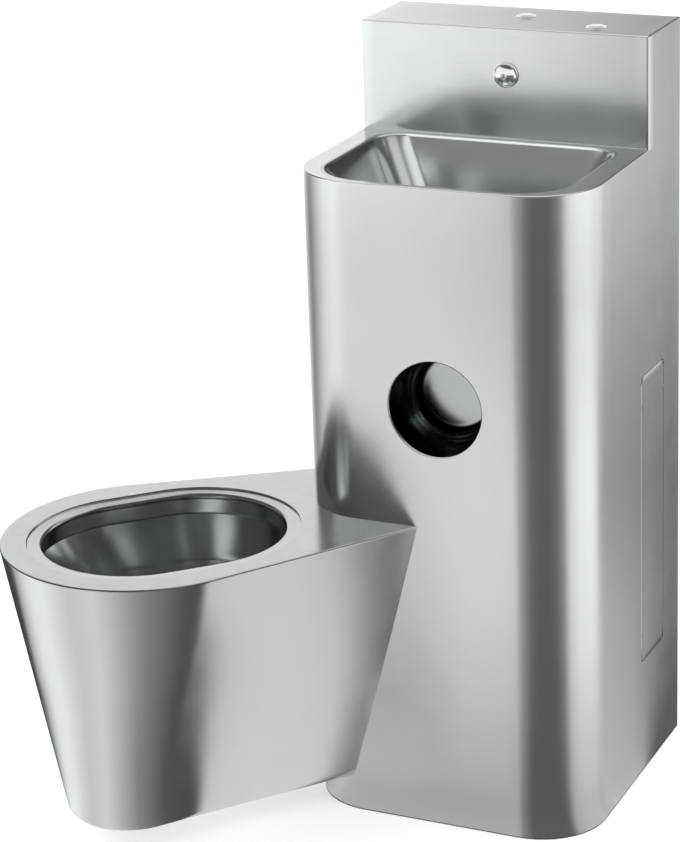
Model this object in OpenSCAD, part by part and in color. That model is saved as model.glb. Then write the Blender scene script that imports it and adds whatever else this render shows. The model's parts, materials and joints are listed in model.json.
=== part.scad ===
// Stainless steel washroom unit for one person: a tall cabinet with a basin let into
// its top and a splashback box behind it, and a toilet pan that stands off the cabinet's
// left front corner at 45 degrees. The service side is open towards the wall.
// Millimetres. X runs along the front, Y runs back to the wall, Z is up from the floor.
// The origin is on the floor, at the wall, on the middle line of the cabinet.

/* [Cabinet] */
// Width of the cabinet
cab_w = 392; // [380:1:420]
// Depth of the cabinet from the wall to its front face
cab_d = 385; // [375:1:410]
// Height of the basin deck above the floor
deck_h = 855; // [835:1:880]
// Height of the splashback box above the deck
splash_h = 145; // [130:1:180]
// Depth of the splashback box
splash_d = 126; // [118:1:140]
// Radius of the two upright front corners
corner_r = 88; // [80:1:95]
// Thickness of the cabinet's sheet steel
sheet = 1.5; // [1:0.1:2]

/* [Pan] */
// Height of the pan's rim above the floor
rim_h = 412; // [400:1:430]
// Height of the pan's underside above the floor
pan_under_h = 43; // [38:1:48]
// Distance from the cabinet's corner centre to the centre of the rim's nose
nose_reach = 324; // [318:1:340]
// Radius of the rim's nose
nose_r = 182; // [180:1:190]
// Angle at which each side of the rim closes in towards the cabinet
nose_taper = 11; // [9:0.5:12]
// Distance from the cabinet's corner centre to the centre of the underside's nose
foot_reach = 360; // [352:1:366]
// Radius of the underside's nose
foot_r = 81; // [78:1:90]
// Angle at which each side of the underside closes in towards the cabinet
foot_taper = 6; // [4:0.5:8]
// Bevel round the underside's edge
foot_bevel = 8; // [4:0.5:10]
// Thickness of the pan's sheet steel
pan_sheet = 2; // [1.5:0.1:2.5]
// Step from the rim down to the seat ring
seat_drop = 6; // [3:0.5:7]
// Radius of the seat ring at both ends
seat_r = 156; // [154:1:158]
// Distance between the centres of the seat ring's two ends
seat_len = 50; // [40:1:60]
// Distance from the cabinet's corner centre to the seat ring's far end centre
seat_reach = 322; // [318:1:326]
// Radius of the pan's opening at both ends
mouth_r = 122; // [116:1:126]
// Distance between the centres of the opening's two ends
mouth_len = 68; // [60:1:76]
// Distance from the cabinet's corner centre to the opening's far end centre
mouth_reach = 331; // [326:1:334]
// Height of the flushing rim's channel
channel_h = 44; // [36:1:50]
// Width of the flushing rim's channel
channel_w = 29.5; // [26:0.5:30]
// Diameter of the jets under the flushing rim
jet_d = 5; // [3:0.5:6]
// Number of jets round each end of the flushing rim
jet_count = 9; // [5:1:12]

/* [Trap and waste] */
// Inner diameter of the pan's trap
trap_bore = 84; // [78:1:86]
// Distance from the cabinet's corner centre to the pan's sump
sump_reach = 262; // [258:1:266]
// Height of the underside of the sump
sump_h = 168; // [164:1:176]
// Radius of the trap's bends
trap_bend = 55; // [54:1:57]
// Height of the centre line of the waste outlet
outlet_h = 235; // [230:1:245]
// Outer diameter of the waste pipe at the wall
outlet_d = 100; // [98:1:104]
// Radius of the waste pipe's bend
outlet_bend = 90; // [80:1:100]

/* [Basin] */
// Width of the basin's opening
basin_w = 326; // [310:1:340]
// Distance of the basin's opening from the front face
basin_front = 12; // [10.5:0.5:20]
// Distance of the basin's opening from the splashback
basin_back = 12; // [11:0.5:24]
// Radius of the opening's front corners
basin_front_r = 66; // [50:1:75]
// Radius of the opening's back corners
basin_back_r = 38; // [30:1:45]
// Depth of the basin below the deck
basin_depth = 125; // [115:1:130]
// Radius of the basin's lower corners
basin_floor_r = 34; // [28:1:38]
// How far the side walls lean in by the floor of the basin
basin_lean = 44; // [36:1:50]
// Distance of the drain from the wall
drain_y = 226; // [224:1:229]
// Outer diameter of the basin's waste tube
drain_d = 40; // [36:1:42]

/* [Controls] */
// Offset of the spout, the basin button and the roll holder from the middle line
control_x = 5; // [0:1:10]
// Height of the spout above the deck
spout_rise = 84; // [75:1:90]
// Diameter of the spout's base
spout_d = 34; // [30:1:38]
// Distance of the basin button from the wall
basin_button_y = 52; // [48:1:58]
// Distance of the flush button from the wall
flush_button_y = 92; // [84:1:98]
// Distance of the flush button from the middle line
flush_button_x = 115; // [100:1:130]
// Diameter of a button's cap
button_d = 19; // [16:0.5:20]
// Travel of a button
button_travel = 4; // [3:0.5:5]
// Height of a button's cap above its collar
button_stand = 2; // [1:0.5:3]

/* [Roll holder and hatch] */
// Diameter of the roll holder's mouth
roll_d = 124; // [116:1:128]
// Height of the roll holder's centre above the floor
roll_h = 571; // [566:1:576]
// Depth of the roll holder up to its dished back
roll_depth = 94; // [88:1:98]
// Height of the hatch
hatch_h = 400; // [360:1:430]
// Width of the hatch
hatch_w = 93; // [80:1:100]
// Height of the hatch's lower edge above the floor
hatch_low = 160; // [140:1:170]
// Distance of the hatch's rear edge from the wall
hatch_y = 63; // [58:1:70]
// Gap round the hatch
hatch_gap = 1; // [0.6:0.1:1.5]

/* [Fixings] */
// Width of the flat bars of the wall frame and the floor frame
bar_w = 30; // [26:1:34]
// Thickness of the flat bars
bar_t = 3; // [2:0.5:4]
// Diameter of the wall fixing holes
wall_hole_d = 13; // [11:0.5:14]
// Height of the lower wall fixing holes
wall_hole_low = 150; // [120:1:200]
// Distance of the upper wall fixing holes from the top
wall_hole_drop = 70; // [60:1:100]
// Diameter of the floor fixing holes
floor_hole_d = 11; // [9:0.5:13]
// Distance of the rear floor fixing holes from the wall
floor_hole_back = 60; // [40:1:80]
// Distance of the front floor fixing holes from the wall
floor_hole_front = 260; // [230:1:270]
// Outer diameter of the toilet's water inlet
flush_inlet_d = 26.4; // [24:0.1:28]
// Height of the toilet's water inlet above the pan's rim
flush_inlet_rise = 68; // [62:1:72]
// Outer diameter of the basin's water inlet
basin_inlet_d = 21; // [18:0.1:22]
// Height of the basin's water inlet above the deck
basin_inlet_rise = 65; // [61:1:69]

/* [Hidden] */
$fn = 64;

// Smallest overlap that makes a cut pass clean through
eps = 1;
// Thinnest slab that a hull is stretched between
slab = 0.01;
// Free gap round a tube or a shank in its hole
clear = 0.5;
// Free gap between a button and its collar
run_gap = 0.3;
// Free gap between parts that are fitted closely
fit_gap = 0.1;
// Number of steps round the basin's lower corners
ball_steps = 32;

total_h = deck_h + splash_h;
spout_h = deck_h + spout_rise;
basin_inlet_h = deck_h + basin_inlet_rise;
wall_hole_high = total_h - wall_hole_drop;
flush_inlet_h = rim_h + flush_inlet_rise;
half_w = cab_w / 2;
in_half_w = half_w - sheet;
corner_x = half_w - corner_r;
corner_y = -cab_d + corner_r;
splash_y = -splash_d;

// Levels and radii inside the pan
seat_h = rim_h - seat_drop;
rim_under = seat_h - pan_sheet;
channel_low = rim_under - channel_h;
channel_r = mouth_r + channel_w;
channel_wall = 1.5;
// Share of a half turn that the jets at each end take up
jet_arc = 160;
// The bowl hangs this far inside the channel's outer wall
bowl_seat = 3.5;
bowl_r = channel_r - bowl_seat;
// Shoulder of the bowl: how far it lies down, in, back and shorter than the bowl's top
shoulder_drop = 60;
shoulder_in = 14;
shoulder_back = 6;
shoulder_short = 40;
sump_r = 55;
// The sump's edge slopes by this much over its own height
sump_slope = 6;
sump_edge_h = 24;
flush_d = 32;
flush_wall = 1.5;
// The flush pipe meets the channel this far below the seat ring
flush_below_rim = 19;
flush_level = rim_under - flush_below_rim;
flush_bend = 36;
flush_seal_wall = 4;
flush_seal_len = 10;
// The seal stands this far off the cabinet's corner
flush_seal_off = 3;
union_wall = 4;
union_len = 18;
// The flush pipe drops this far behind the corner centre, on the pan's axis
flush_drop = 60;
trap_r = trap_bore / 2 + pan_sheet;
// Straight length of the trap under the sump
trap_neck = 18;
trap_low = sump_h - trap_neck;
trap_rise_reach = sump_reach - 2 * trap_bend;
trap_end_reach = 45;
coupling_front = 60;
coupling_step = 40;
coupling_back = 10;
coupling_wall = 5;
// Half the length of the cuts that let the pipes through the cabinet's corner
corner_cut = 25;
waste_r = outlet_d / 2;
// The waste pipe leaves the 45 degree line where its bend brings it to the middle line
waste_turn = (corner_x - outlet_bend * (1 - cos(45))) / cos(45);
waste_turn_y = corner_y + waste_turn * sin(45) + outlet_bend * sin(45);

// The basin's opening
basin_y0 = -cab_d + basin_front;
basin_y1 = splash_y - basin_back;
basin_x = basin_w / 2;
basin_floor_h = deck_h - basin_depth;
basin_back_lean = basin_lean / 2;
basin_flange = 9;
drain_r = drain_d / 2;
drain_hole_r = drain_r + clear;
waste_seal_t = 3;
drain_flange_r = 29;
// The seal is this much smaller than the flange above it
waste_seal_inset = 2;
waste_seal_r = drain_flange_r - waste_seal_inset;
waste_nut_t = 10;
drain_flange_t = 2;
grid_t = 1.5;
grid_seat = 2;
grid_gap = 0.2;
grid_hole_r = 3;
// Where the ring of holes lies, as a share of the waste tube's radius
grid_ring = 0.55;
// Free length of the waste tube between its nut and the trap, and below it
neck_gap = 4;
neck_wall = 4;
trap_neck_top = basin_floor_h - sheet - waste_seal_t - waste_nut_t - neck_gap;
trap_neck_r = drain_r + neck_wall;
trap_neck_h = 18;
waste_low = trap_neck_top - trap_neck_h + neck_gap;
trap_body_r = 29;
trap_body_top = trap_neck_top - trap_neck_h;
trap_body_h = 74;
trap_body_low = trap_body_top - trap_body_h;
trap_cup_r = 31;
trap_cup_h = 34;
trap_wall = 2.5;
// The trap's side outlet lies this far below its top
trap_outlet_drop = 24;
trap_outlet_h = trap_body_top - trap_outlet_drop;
basin_outlet_r = 16;
outlet_stub = 20;
tube_wall = 1.5;

// Roll holder
roll_r = roll_d / 2;
roll_dish_r = 90;
roll_flange = 16;

// Hatch
hatch_y1 = -hatch_y;
hatch_y0 = hatch_y1 - hatch_w;
hatch_top = hatch_low + hatch_h;
hatch_cut = 8;
hatch_lap = 10;
hatch_frame_out = 20;
hatch_frame_t = 2;
hatch_screw_r = 2;
hatch_screw_head_r = 3.4;
hatch_screw_inset = 5;
hatch_screw_end = 40;
hatch_screw_len = 8;

// Buttons
button_r = button_d / 2;
collar_bore_r = button_r + run_gap;
collar_wall = 1.5;
collar_r = collar_bore_r + collar_wall;
collar_hole_r = collar_r + clear;
collar_lip = 2;
collar_flange_r = collar_r + collar_lip;
collar_flange_t = 1.5;
collar_len = 35;
collar_web = 3;
collar_web_bore_r = 4;
collar_low = total_h - collar_len;
cap_top = total_h + collar_flange_t + button_stand;
cap_t = 9.5;
cap_edge = 1.2;
// Share of the cap's radius that is flat on top
cap_flat = 0.6;
stem_r = 3;
// Length of the stem below the collar, and the hole that it moves in
stem_reach = 10;
stem_room = 2;
stem_hole = stem_reach + button_travel + stem_room;
spring_in_r = 5;
spring_out_r = 7.5;
nut_t = 7;
nut_rim = 6;
nut_r = collar_r + nut_rim;
valve_collar_h = 10;
valve_collar_r = 14;
valve_r = 18;
valve_h = 50;
port_len = 3;
port_wall = 2;
inlet_wall = 2.5;
bellows_h = 30;
bellows_r = 16;
nipple_h = 10;
nipple_r = 4;

// Spout
spout_r = spout_d / 2;
spout_base_t = 2.5;
// Width of the base's flat edge round the dome
spout_edge = 3;
spout_dome_h = 9;
spout_tip_r = 8;
spout_shank_r = 10;
spout_shank_len = 26;
spout_bore_r = 3.5;
spout_seal_t = 1.5;
spout_seal_inset = 1;
spout_seal_r = spout_r - spout_seal_inset;
spout_nut_t = 8;
spout_nut_r = 15;
spout_tube_r = 6;

// Flush water
flush_valve_r = 25;
flush_valve_y0 = -130;
flush_valve_y1 = -60;
// The valve and its inlet stand in line behind the flush pipe's drop
flush_x = -corner_x + flush_drop * cos(45);
flush_y = corner_y + flush_drop * sin(45);
air_r = 4;
air_bend = 20;
air_low = flush_inlet_h + flush_valve_r + nipple_h + 2 * air_bend;

// Outline of the cabinet on the floor, shrunk by inset at its front and sides
module cabinet_plan(inset = 0) {
    translate([-half_w + inset, corner_y])
        square([cab_w - 2 * inset, -corner_y]);
    translate([-corner_x, -cab_d + inset])
        square([2 * corner_x, corner_r]);
    for (side = [-1, 1])
        translate([side * corner_x, corner_y])
            circle(corner_r - inset);
}

// Everything inside the cabinet's outer faces, from z0 up
module cabinet_block(z0, h) {
    translate([0, 0, z0])
        linear_extrude(h)
            cabinet_plan();
}

// Puts a child on the pan's own axis: x runs out from the cabinet's corner centre
module on_pan_axis() {
    translate([-corner_x, corner_y, 0])
        rotate([0, 0, 225])
            children();
}

// Half width of the pan's outline at the corner centre
function root_w(reach, r, taper) = (r - reach * sin(taper)) / cos(taper);

// Outline of the pan: a round nose with sides that close in towards the cabinet
module pan_plan(reach, r, taper) {
    translate([reach, 0])
        circle(r);
    polygon([[0, -root_w(reach, r, taper)],
             [reach - r * sin(taper), -r * cos(taper)],
             [reach - r * sin(taper), r * cos(taper)],
             [0, root_w(reach, r, taper)]]);
}

// Outline with two equal round ends on the pan's axis
module long_round(reach, len, r) {
    translate([reach, 0])
        circle(r);
    translate([reach - len, 0])
        circle(r);
    translate([reach - len, -r])
        square([len, 2 * r]);
}

// Solid pan body, shrunk by inset all round, up to the height top
module pan_body(inset, low, top) {
    share = (top - pan_under_h) / (rim_h - pan_under_h);
    top_reach = foot_reach + share * (nose_reach - foot_reach);
    top_r = foot_r + share * (nose_r - foot_r);
    top_taper = nose_taper;
    hull() {
        translate([0, 0, low])
            linear_extrude(slab)
                pan_plan(foot_reach, foot_r - inset - foot_bevel, foot_taper);
        translate([0, 0, low + foot_bevel])
            linear_extrude(slab)
                pan_plan(foot_reach, foot_r - inset, foot_taper);
        translate([0, 0, top - slab])
            linear_extrude(slab)
                pan_plan(top_reach, top_r - inset, top_taper);
    }
}

// Round tube along +Z
module tube(len, r, wall) {
    difference() {
        cylinder(h = len, r = r);
        translate([0, 0, -eps])
            cylinder(h = len + 2 * eps, r = r - wall);
    }
}

// Tube along +X
module tube_x(len, r, wall) {
    rotate([0, 90, 0])
        tube(len, r, wall);
}

// Tube along +Y
module tube_y(len, r, wall) {
    rotate([-90, 0, 0])
        tube(len, r, wall);
}

// Quarter or part of a bent tube round the Z axis, starting at [bend, 0]
module bend_tube(bend, angle, r, wall) {
    rotate_extrude(angle = angle)
        translate([bend, 0])
            difference() {
                circle(r);
                circle(r - wall);
            }
}

// Hexagonal nut with a round hole, standing on Z = 0
module hex_nut(r, t, bore) {
    difference() {
        cylinder(h = t, r = r, $fn = 6);
        translate([0, 0, -eps])
            cylinder(h = t + 2 * eps, r = bore);
    }
}

// ---- Cabinet ----

module hatch_outline(grow) {
    y0 = hatch_y0 - grow;
    y1 = hatch_y1 + grow;
    z0 = hatch_low - grow;
    z1 = hatch_top + grow;
    polygon([[y0 + hatch_cut, z0], [y1 - hatch_cut, z0], [y1, z0 + hatch_cut],
             [y1, z1 - hatch_cut], [y1 - hatch_cut, z1], [y0 + hatch_cut, z1],
             [y0, z1 - hatch_cut], [y0, z0 + hatch_cut]]);
}

// Stands a sheet that is drawn in Y and Z upright, from x0 to x0 + t
module side_sheet(x0, t) {
    translate([x0, 0, 0])
        rotate([90, 0, 90])
            linear_extrude(t)
                children();
}

module cabinet_shell() {
    color("silver")
        difference() {
            union() {
                linear_extrude(deck_h - sheet)
                    difference() {
                        cabinet_plan();
                        cabinet_plan(sheet);
                        translate([-in_half_w, -sheet])
                            square([2 * in_half_w, 2 * sheet]);
                    }
                for (side = [-1, 1])
                    translate([side * (half_w - sheet / 2) - sheet / 2, splash_y + sheet, deck_h - 2 * sheet])
                        cube([sheet, splash_d - sheet, splash_h + sheet]);
            }
            translate([control_x, -cab_d - eps, roll_h])
                rotate([-90, 0, 0])
                    cylinder(h = 3 * eps + sheet, r = roll_r);
            side_sheet(half_w - sheet - eps, sheet + 2 * eps)
                hatch_outline(0);
            on_pan_axis() {
                translate([corner_r - corner_cut, 0, outlet_h])
                    rotate([0, 90, 0])
                        cylinder(h = 2 * corner_cut, r = trap_r + clear);
                translate([corner_r - corner_cut, 0, flush_level])
                    rotate([0, 90, 0])
                        cylinder(h = 2 * corner_cut, r = flush_d / 2 + clear);
            }
        }
}

// Outline of the basin's opening, grown by grow
module basin_outline(grow) {
    fr = basin_front_r + grow;
    br = basin_back_r + grow;
    for (side = [-1, 1]) {
        translate([side * (basin_x - basin_front_r), basin_y0 + basin_front_r])
            circle(fr);
        translate([side * (basin_x - basin_back_r), basin_y1 - basin_back_r])
            circle(br);
    }
    x = basin_x + grow;
    y0 = basin_y0 - grow;
    y1 = basin_y1 + grow;
    polygon([[-x + fr, y0], [x - fr, y0], [x, y0 + fr], [x, y1 - br],
             [x - br, y1], [-x + br, y1], [-x, y1 - br], [-x, y0 + fr]]);
}

module deck_plate() {
    color("silver")
        translate([0, 0, deck_h - sheet])
            linear_extrude(sheet)
                difference() {
                    intersection() {
                        cabinet_plan();
                        translate([-cab_w, -cab_d])
                            square([2 * cab_w, cab_d - splash_d + sheet]);
                    }
                    basin_outline(0);
                }
}

module splash_cover() {
    color("silver")
        difference() {
            union() {
                translate([-half_w, splash_y, deck_h])
                    cube([cab_w, sheet, splash_h]);
                translate([-half_w, splash_y, total_h - sheet])
                    cube([cab_w, splash_d, sheet]);
            }
            translate([control_x, splash_y - eps, spout_h])
                rotate([-90, 0, 0])
                    cylinder(h = sheet + 2 * eps, r = spout_shank_r + clear);
            translate([control_x, -basin_button_y, total_h - sheet - eps])
                cylinder(h = sheet + 2 * eps, r = collar_hole_r);
            translate([flush_button_x, -flush_button_y, total_h - sheet - eps])
                cylinder(h = sheet + 2 * eps, r = collar_hole_r);
        }
}

// Flat frame that closes the cabinet's back edge and takes the wall fixings
module wall_frame() {
    color("darkgray")
        difference() {
            translate([-in_half_w, -bar_t, 0])
                cube([2 * in_half_w, bar_t, total_h - sheet]);
            translate([-in_half_w + bar_w, -bar_t - eps, bar_w])
                cube([2 * (in_half_w - bar_w), bar_t + 2 * eps, total_h - sheet - 2 * bar_w]);
            for (side = [-1, 1])
                for (level = [wall_hole_low, wall_hole_high])
                    translate([side * (in_half_w - bar_w / 2), -bar_t - eps, level])
                        rotate([-90, 0, 0])
                            cylinder(h = bar_t + 2 * eps, d = wall_hole_d);
        }
}

// Flat frame inside the foot of the cabinet, with the floor fixings
module floor_frame() {
    color("darkgray")
        difference() {
            linear_extrude(bar_t)
                difference() {
                    cabinet_plan(sheet);
                    cabinet_plan(sheet + bar_w);
                    translate([-in_half_w - eps, -bar_t])
                        square([2 * in_half_w + 2 * eps, bar_t + eps]);
                }
            for (side = [-1, 1])
                for (y = [floor_hole_back, floor_hole_front])
                    translate([side * (in_half_w - bar_w / 2), -y, -eps])
                        cylinder(h = bar_t + 2 * eps, d = floor_hole_d);
        }
}

// Closed cup behind the round hole in the front, for a spare toilet roll
module roll_holder() {
    dish_rise = roll_dish_r - sqrt(pow(roll_dish_r, 2) - pow(roll_r, 2));
    color("gray")
        translate([control_x, -cab_d + sheet, roll_h])
            rotate([-90, 0, 0]) {
                tube(roll_depth, roll_r + sheet, sheet);
                tube(sheet, roll_r + roll_flange, roll_flange);
                translate([0, 0, roll_depth])
                    difference() {
                        cylinder(h = dish_rise + sheet, r = roll_r + sheet);
                        translate([0, 0, dish_rise - roll_dish_r])
                            intersection() {
                                sphere(roll_dish_r);
                                cylinder(h = roll_dish_r, r = roll_r);
                            }
                    }
            }
}

// Places a child at each of the hatch's four screws, pointing out of the cabinet
module at_hatch_screws(x) {
    for (y = [hatch_y0 + hatch_screw_inset, hatch_y1 - hatch_screw_inset])
        for (z = [hatch_low + hatch_screw_end, hatch_top - hatch_screw_end])
            translate([x, y, z])
                rotate([0, 90, 0])
                    children();
}

module hatch_frame() {
    x0 = half_w - sheet - hatch_frame_t;
    color("darkgray")
        difference() {
            side_sheet(x0, hatch_frame_t)
                difference() {
                    hatch_outline(hatch_frame_out);
                    hatch_outline(-hatch_lap);
                }
            at_hatch_screws(x0 - eps)
                cylinder(h = hatch_frame_t + 2 * eps, r = hatch_screw_r + fit_gap);
        }
}

module access_hatch() {
    color("silver")
        difference() {
            side_sheet(half_w - sheet, sheet)
                hatch_outline(-hatch_gap);
            at_hatch_screws(half_w - sheet - eps)
                cylinder(h = sheet + 2 * eps, r = hatch_screw_head_r);
        }
}

// Four countersunk screws, their heads level with the hatch
module hatch_screws() {
    color("gray")
        at_hatch_screws(half_w)
            translate([0, 0, -hatch_screw_len]) {
                cylinder(h = hatch_screw_len, r = hatch_screw_r);
                translate([0, 0, hatch_screw_len - sheet])
                    cylinder(h = sheet, r = hatch_screw_head_r);
            }
}

// ---- Basin ----

// Solid shape of the basin, grown by grow and carried on upwards by over; its floor
// falls to a flat ring round the drain
module basin_form(grow, over) {
    hull() {
        translate([0, 0, deck_h - sheet - slab])
            linear_extrude(slab + over)
                basin_outline(grow);
        for (side = [-1, 1])
            for (y = [basin_y0 + basin_lean + basin_floor_r, basin_y1 - basin_back_lean - basin_floor_r])
                translate([side * (basin_x - basin_lean - basin_floor_r), y, basin_floor_h + basin_floor_r])
                    sphere(basin_floor_r + grow, $fn = ball_steps);
        translate([0, -drain_y, basin_floor_h - grow])
            cylinder(h = slab, r = drain_flange_r);
    }
}

module basin_bowl() {
    color("silver")
        difference() {
            union() {
                basin_form(sheet, 0);
                translate([0, 0, deck_h - 2 * sheet])
                    linear_extrude(sheet)
                        basin_outline(basin_flange);
            }
            basin_form(0, eps);
            translate([0, -drain_y, basin_floor_h - 2 * sheet])
                cylinder(h = 4 * sheet, r = drain_hole_r);
        }
}

// Flanged tube through the drain hole
module basin_waste() {
    len = basin_floor_h + drain_flange_t - waste_low;
    color("gainsboro")
        translate([0, -drain_y, 0])
            difference() {
                union() {
                    translate([0, 0, waste_low])
                        cylinder(h = len, r = drain_r);
                    translate([0, 0, basin_floor_h])
                        cylinder(h = drain_flange_t, r = drain_flange_r);
                }
                translate([0, 0, waste_low - eps])
                    cylinder(h = len + 2 * eps, r = drain_r - tube_wall);
                translate([0, 0, basin_floor_h + drain_flange_t - grid_t])
                    cylinder(h = grid_t + eps, r = drain_r + grid_seat);
            }
}

module basin_grid() {
    color("gainsboro")
        translate([0, -drain_y, basin_floor_h + drain_flange_t - grid_t])
            difference() {
                cylinder(h = grid_t, r = drain_r + grid_seat - grid_gap);
                translate([0, 0, -eps]) {
                    cylinder(h = grid_t + 2 * eps, r = grid_hole_r);
                    for (turn = [0:60:300])
                        rotate([0, 0, turn])
                            translate([drain_r * grid_ring, 0, 0])
                                cylinder(h = grid_t + 2 * eps, r = grid_hole_r);
                }
            }
}

module waste_seal() {
    color("dimgray")
        translate([0, -drain_y, basin_floor_h - sheet - waste_seal_t])
            tube(waste_seal_t, waste_seal_r, waste_seal_r - drain_r);
}

module waste_nut() {
    color("gainsboro")
        translate([0, -drain_y, basin_floor_h - sheet - waste_seal_t - waste_nut_t])
            hex_nut(drain_flange_r, waste_nut_t, drain_r);
}

// Body of the basin's trap: neck, chamber and side outlet
module bottle_trap() {
    color("gainsboro")
        translate([0, -drain_y, 0])
            difference() {
                union() {
                    translate([0, 0, trap_body_top])
                        cylinder(h = trap_neck_h, r = trap_neck_r);
                    translate([0, 0, trap_body_low])
                        cylinder(h = trap_body_h, r = trap_body_r);
                    translate([0, 0, trap_outlet_h])
                        rotate([-90, 0, 0])
                            cylinder(h = trap_body_r + outlet_stub, r = basin_outlet_r + neck_wall);
                }
                translate([0, 0, trap_body_top - trap_wall])
                    cylinder(h = trap_neck_h + trap_wall + eps, r = drain_r);
                translate([0, 0, trap_body_low - eps])
                    cylinder(h = trap_body_h - trap_wall + eps, r = trap_body_r - trap_wall);
                translate([0, 0, trap_outlet_h])
                    rotate([-90, 0, 0])
                        cylinder(h = trap_body_r + outlet_stub + eps, r = basin_outlet_r - tube_wall);
            }
}

// Screwed cup under the trap, taken off for cleaning
module trap_cup() {
    color("gainsboro")
        translate([0, -drain_y, trap_body_low - trap_cup_h])
            difference() {
                cylinder(h = trap_cup_h, r = trap_cup_r);
                translate([0, 0, trap_wall])
                    cylinder(h = trap_cup_h, r = trap_body_r - trap_wall);
            }
}

module basin_outlet_pipe() {
    start = -drain_y + trap_body_r + outlet_stub;
    color("gainsboro")
        translate([0, start, trap_outlet_h])
            tube_y(-start, basin_outlet_r, tube_wall);
}

// ---- Spout and basin water ----

module spout() {
    color("lightgray")
        translate([control_x, splash_y, spout_h])
            rotate([90, 0, 0])
                difference() {
                    union() {
                        cylinder(h = spout_base_t, r = spout_r);
                        translate([0, 0, spout_base_t])
                            cylinder(h = spout_dome_h, r1 = spout_r - spout_edge, r2 = spout_tip_r);
                        translate([0, 0, -spout_shank_len])
                            cylinder(h = spout_shank_len + eps, r = spout_shank_r);
                    }
                    translate([0, 0, -spout_shank_len - eps])
                        cylinder(h = spout_shank_len + spout_base_t + spout_dome_h + 2 * eps, r = spout_bore_r);
                }
}

module spout_seal() {
    color("dimgray")
        translate([control_x, splash_y + sheet, spout_h])
            tube_y(spout_seal_t, spout_seal_r, spout_seal_r - spout_shank_r);
}

module spout_nut() {
    color("silver")
        translate([control_x, splash_y + sheet + spout_seal_t, spout_h])
            rotate([-90, 0, 0])
                hex_nut(spout_nut_r, spout_nut_t, spout_shank_r);
}

module spout_tube() {
    start = splash_y + spout_shank_len;
    color("gainsboro")
        translate([control_x, start, spout_h])
            tube_y(-basin_button_y - valve_r - port_len - start, spout_tube_r, tube_wall);
}

module basin_inlet_pipe() {
    start = -basin_button_y + valve_r + port_len;
    color("gainsboro")
        translate([control_x, start, basin_inlet_h])
            tube_y(-start, basin_inlet_d / 2, inlet_wall);
}

// Timed valve that the basin button's stem presses on
module basin_valve() {
    color("tan")
        translate([control_x, -basin_button_y, collar_low - valve_collar_h])
            difference() {
                union() {
                    translate([0, 0, -valve_h])
                        cylinder(h = valve_h, r = valve_r);
                    cylinder(h = valve_collar_h, r = valve_collar_r);
                    translate([0, 0, spout_h - collar_low + valve_collar_h])
                        rotate([90, 0, 0])
                            cylinder(h = valve_r + port_len, r = spout_tube_r + port_wall);
                    translate([0, 0, basin_inlet_h - collar_low + valve_collar_h])
                        rotate([-90, 0, 0])
                            cylinder(h = valve_r + port_len, r = basin_inlet_d / 2 + port_wall);
                }
                translate([0, 0, valve_collar_h - stem_hole])
                    cylinder(h = stem_hole + eps, r = stem_r + clear);
            }
}

// ---- Push buttons ----

module button_cap() {
    stem_drop = cap_top - collar_low + stem_reach;
    color("lightgray") {
        rotate_extrude()
            polygon([[0, -cap_t], [button_r, -cap_t], [button_r, -button_stand - cap_edge],
                     [button_r - cap_edge, -cap_edge / 2], [button_r * cap_flat, 0], [0, 0]]);
        translate([0, 0, -stem_drop])
            cylinder(h = stem_drop - cap_t + eps, r = stem_r);
    }
}

// Threaded collar with a flange on top and a web that the spring stands on
module button_collar() {
    color("silver")
        difference() {
            union() {
                cylinder(h = collar_len, r = collar_r);
                translate([0, 0, collar_len])
                    cylinder(h = collar_flange_t, r = collar_flange_r);
            }
            translate([0, 0, collar_web])
                cylinder(h = collar_len + collar_flange_t, r = collar_bore_r);
            translate([0, 0, -eps])
                cylinder(h = collar_web + 2 * eps, r = collar_web_bore_r);
        }
}

module button_spring() {
    color("dimgray")
        tube(cap_top - cap_t - collar_low - collar_web, spring_out_r, spring_out_r - spring_in_r);
}

module basin_button() {
    translate([control_x, -basin_button_y, cap_top])
        button_cap();
}

module flush_button() {
    translate([flush_button_x, -flush_button_y, cap_top])
        button_cap();
}

module basin_button_collar() {
    translate([control_x, -basin_button_y, collar_low])
        button_collar();
}

module flush_button_collar() {
    translate([flush_button_x, -flush_button_y, collar_low])
        button_collar();
}

module basin_button_nut() {
    color("silver")
        translate([control_x, -basin_button_y, total_h - sheet - nut_t])
            hex_nut(nut_r, nut_t, collar_r);
}

module flush_button_nut() {
    color("silver")
        translate([flush_button_x, -flush_button_y, total_h - sheet - nut_t])
            hex_nut(nut_r, nut_t, collar_r);
}

module basin_button_spring() {
    translate([control_x, -basin_button_y, collar_low + collar_web])
        button_spring();
}

module flush_button_spring() {
    translate([flush_button_x, -flush_button_y, collar_low + collar_web])
        button_spring();
}

// Air chamber under the flush button
module flush_bellows() {
    color("dimgray")
        translate([flush_button_x, -flush_button_y, collar_low - bellows_h])
            difference() {
                union() {
                    cylinder(h = bellows_h, r = bellows_r);
                    translate([0, 0, -nipple_h])
                        cylinder(h = nipple_h, r = nipple_r);
                }
                translate([0, 0, bellows_h - stem_hole])
                    cylinder(h = stem_hole + eps, r = stem_r + clear);
            }
}

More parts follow.
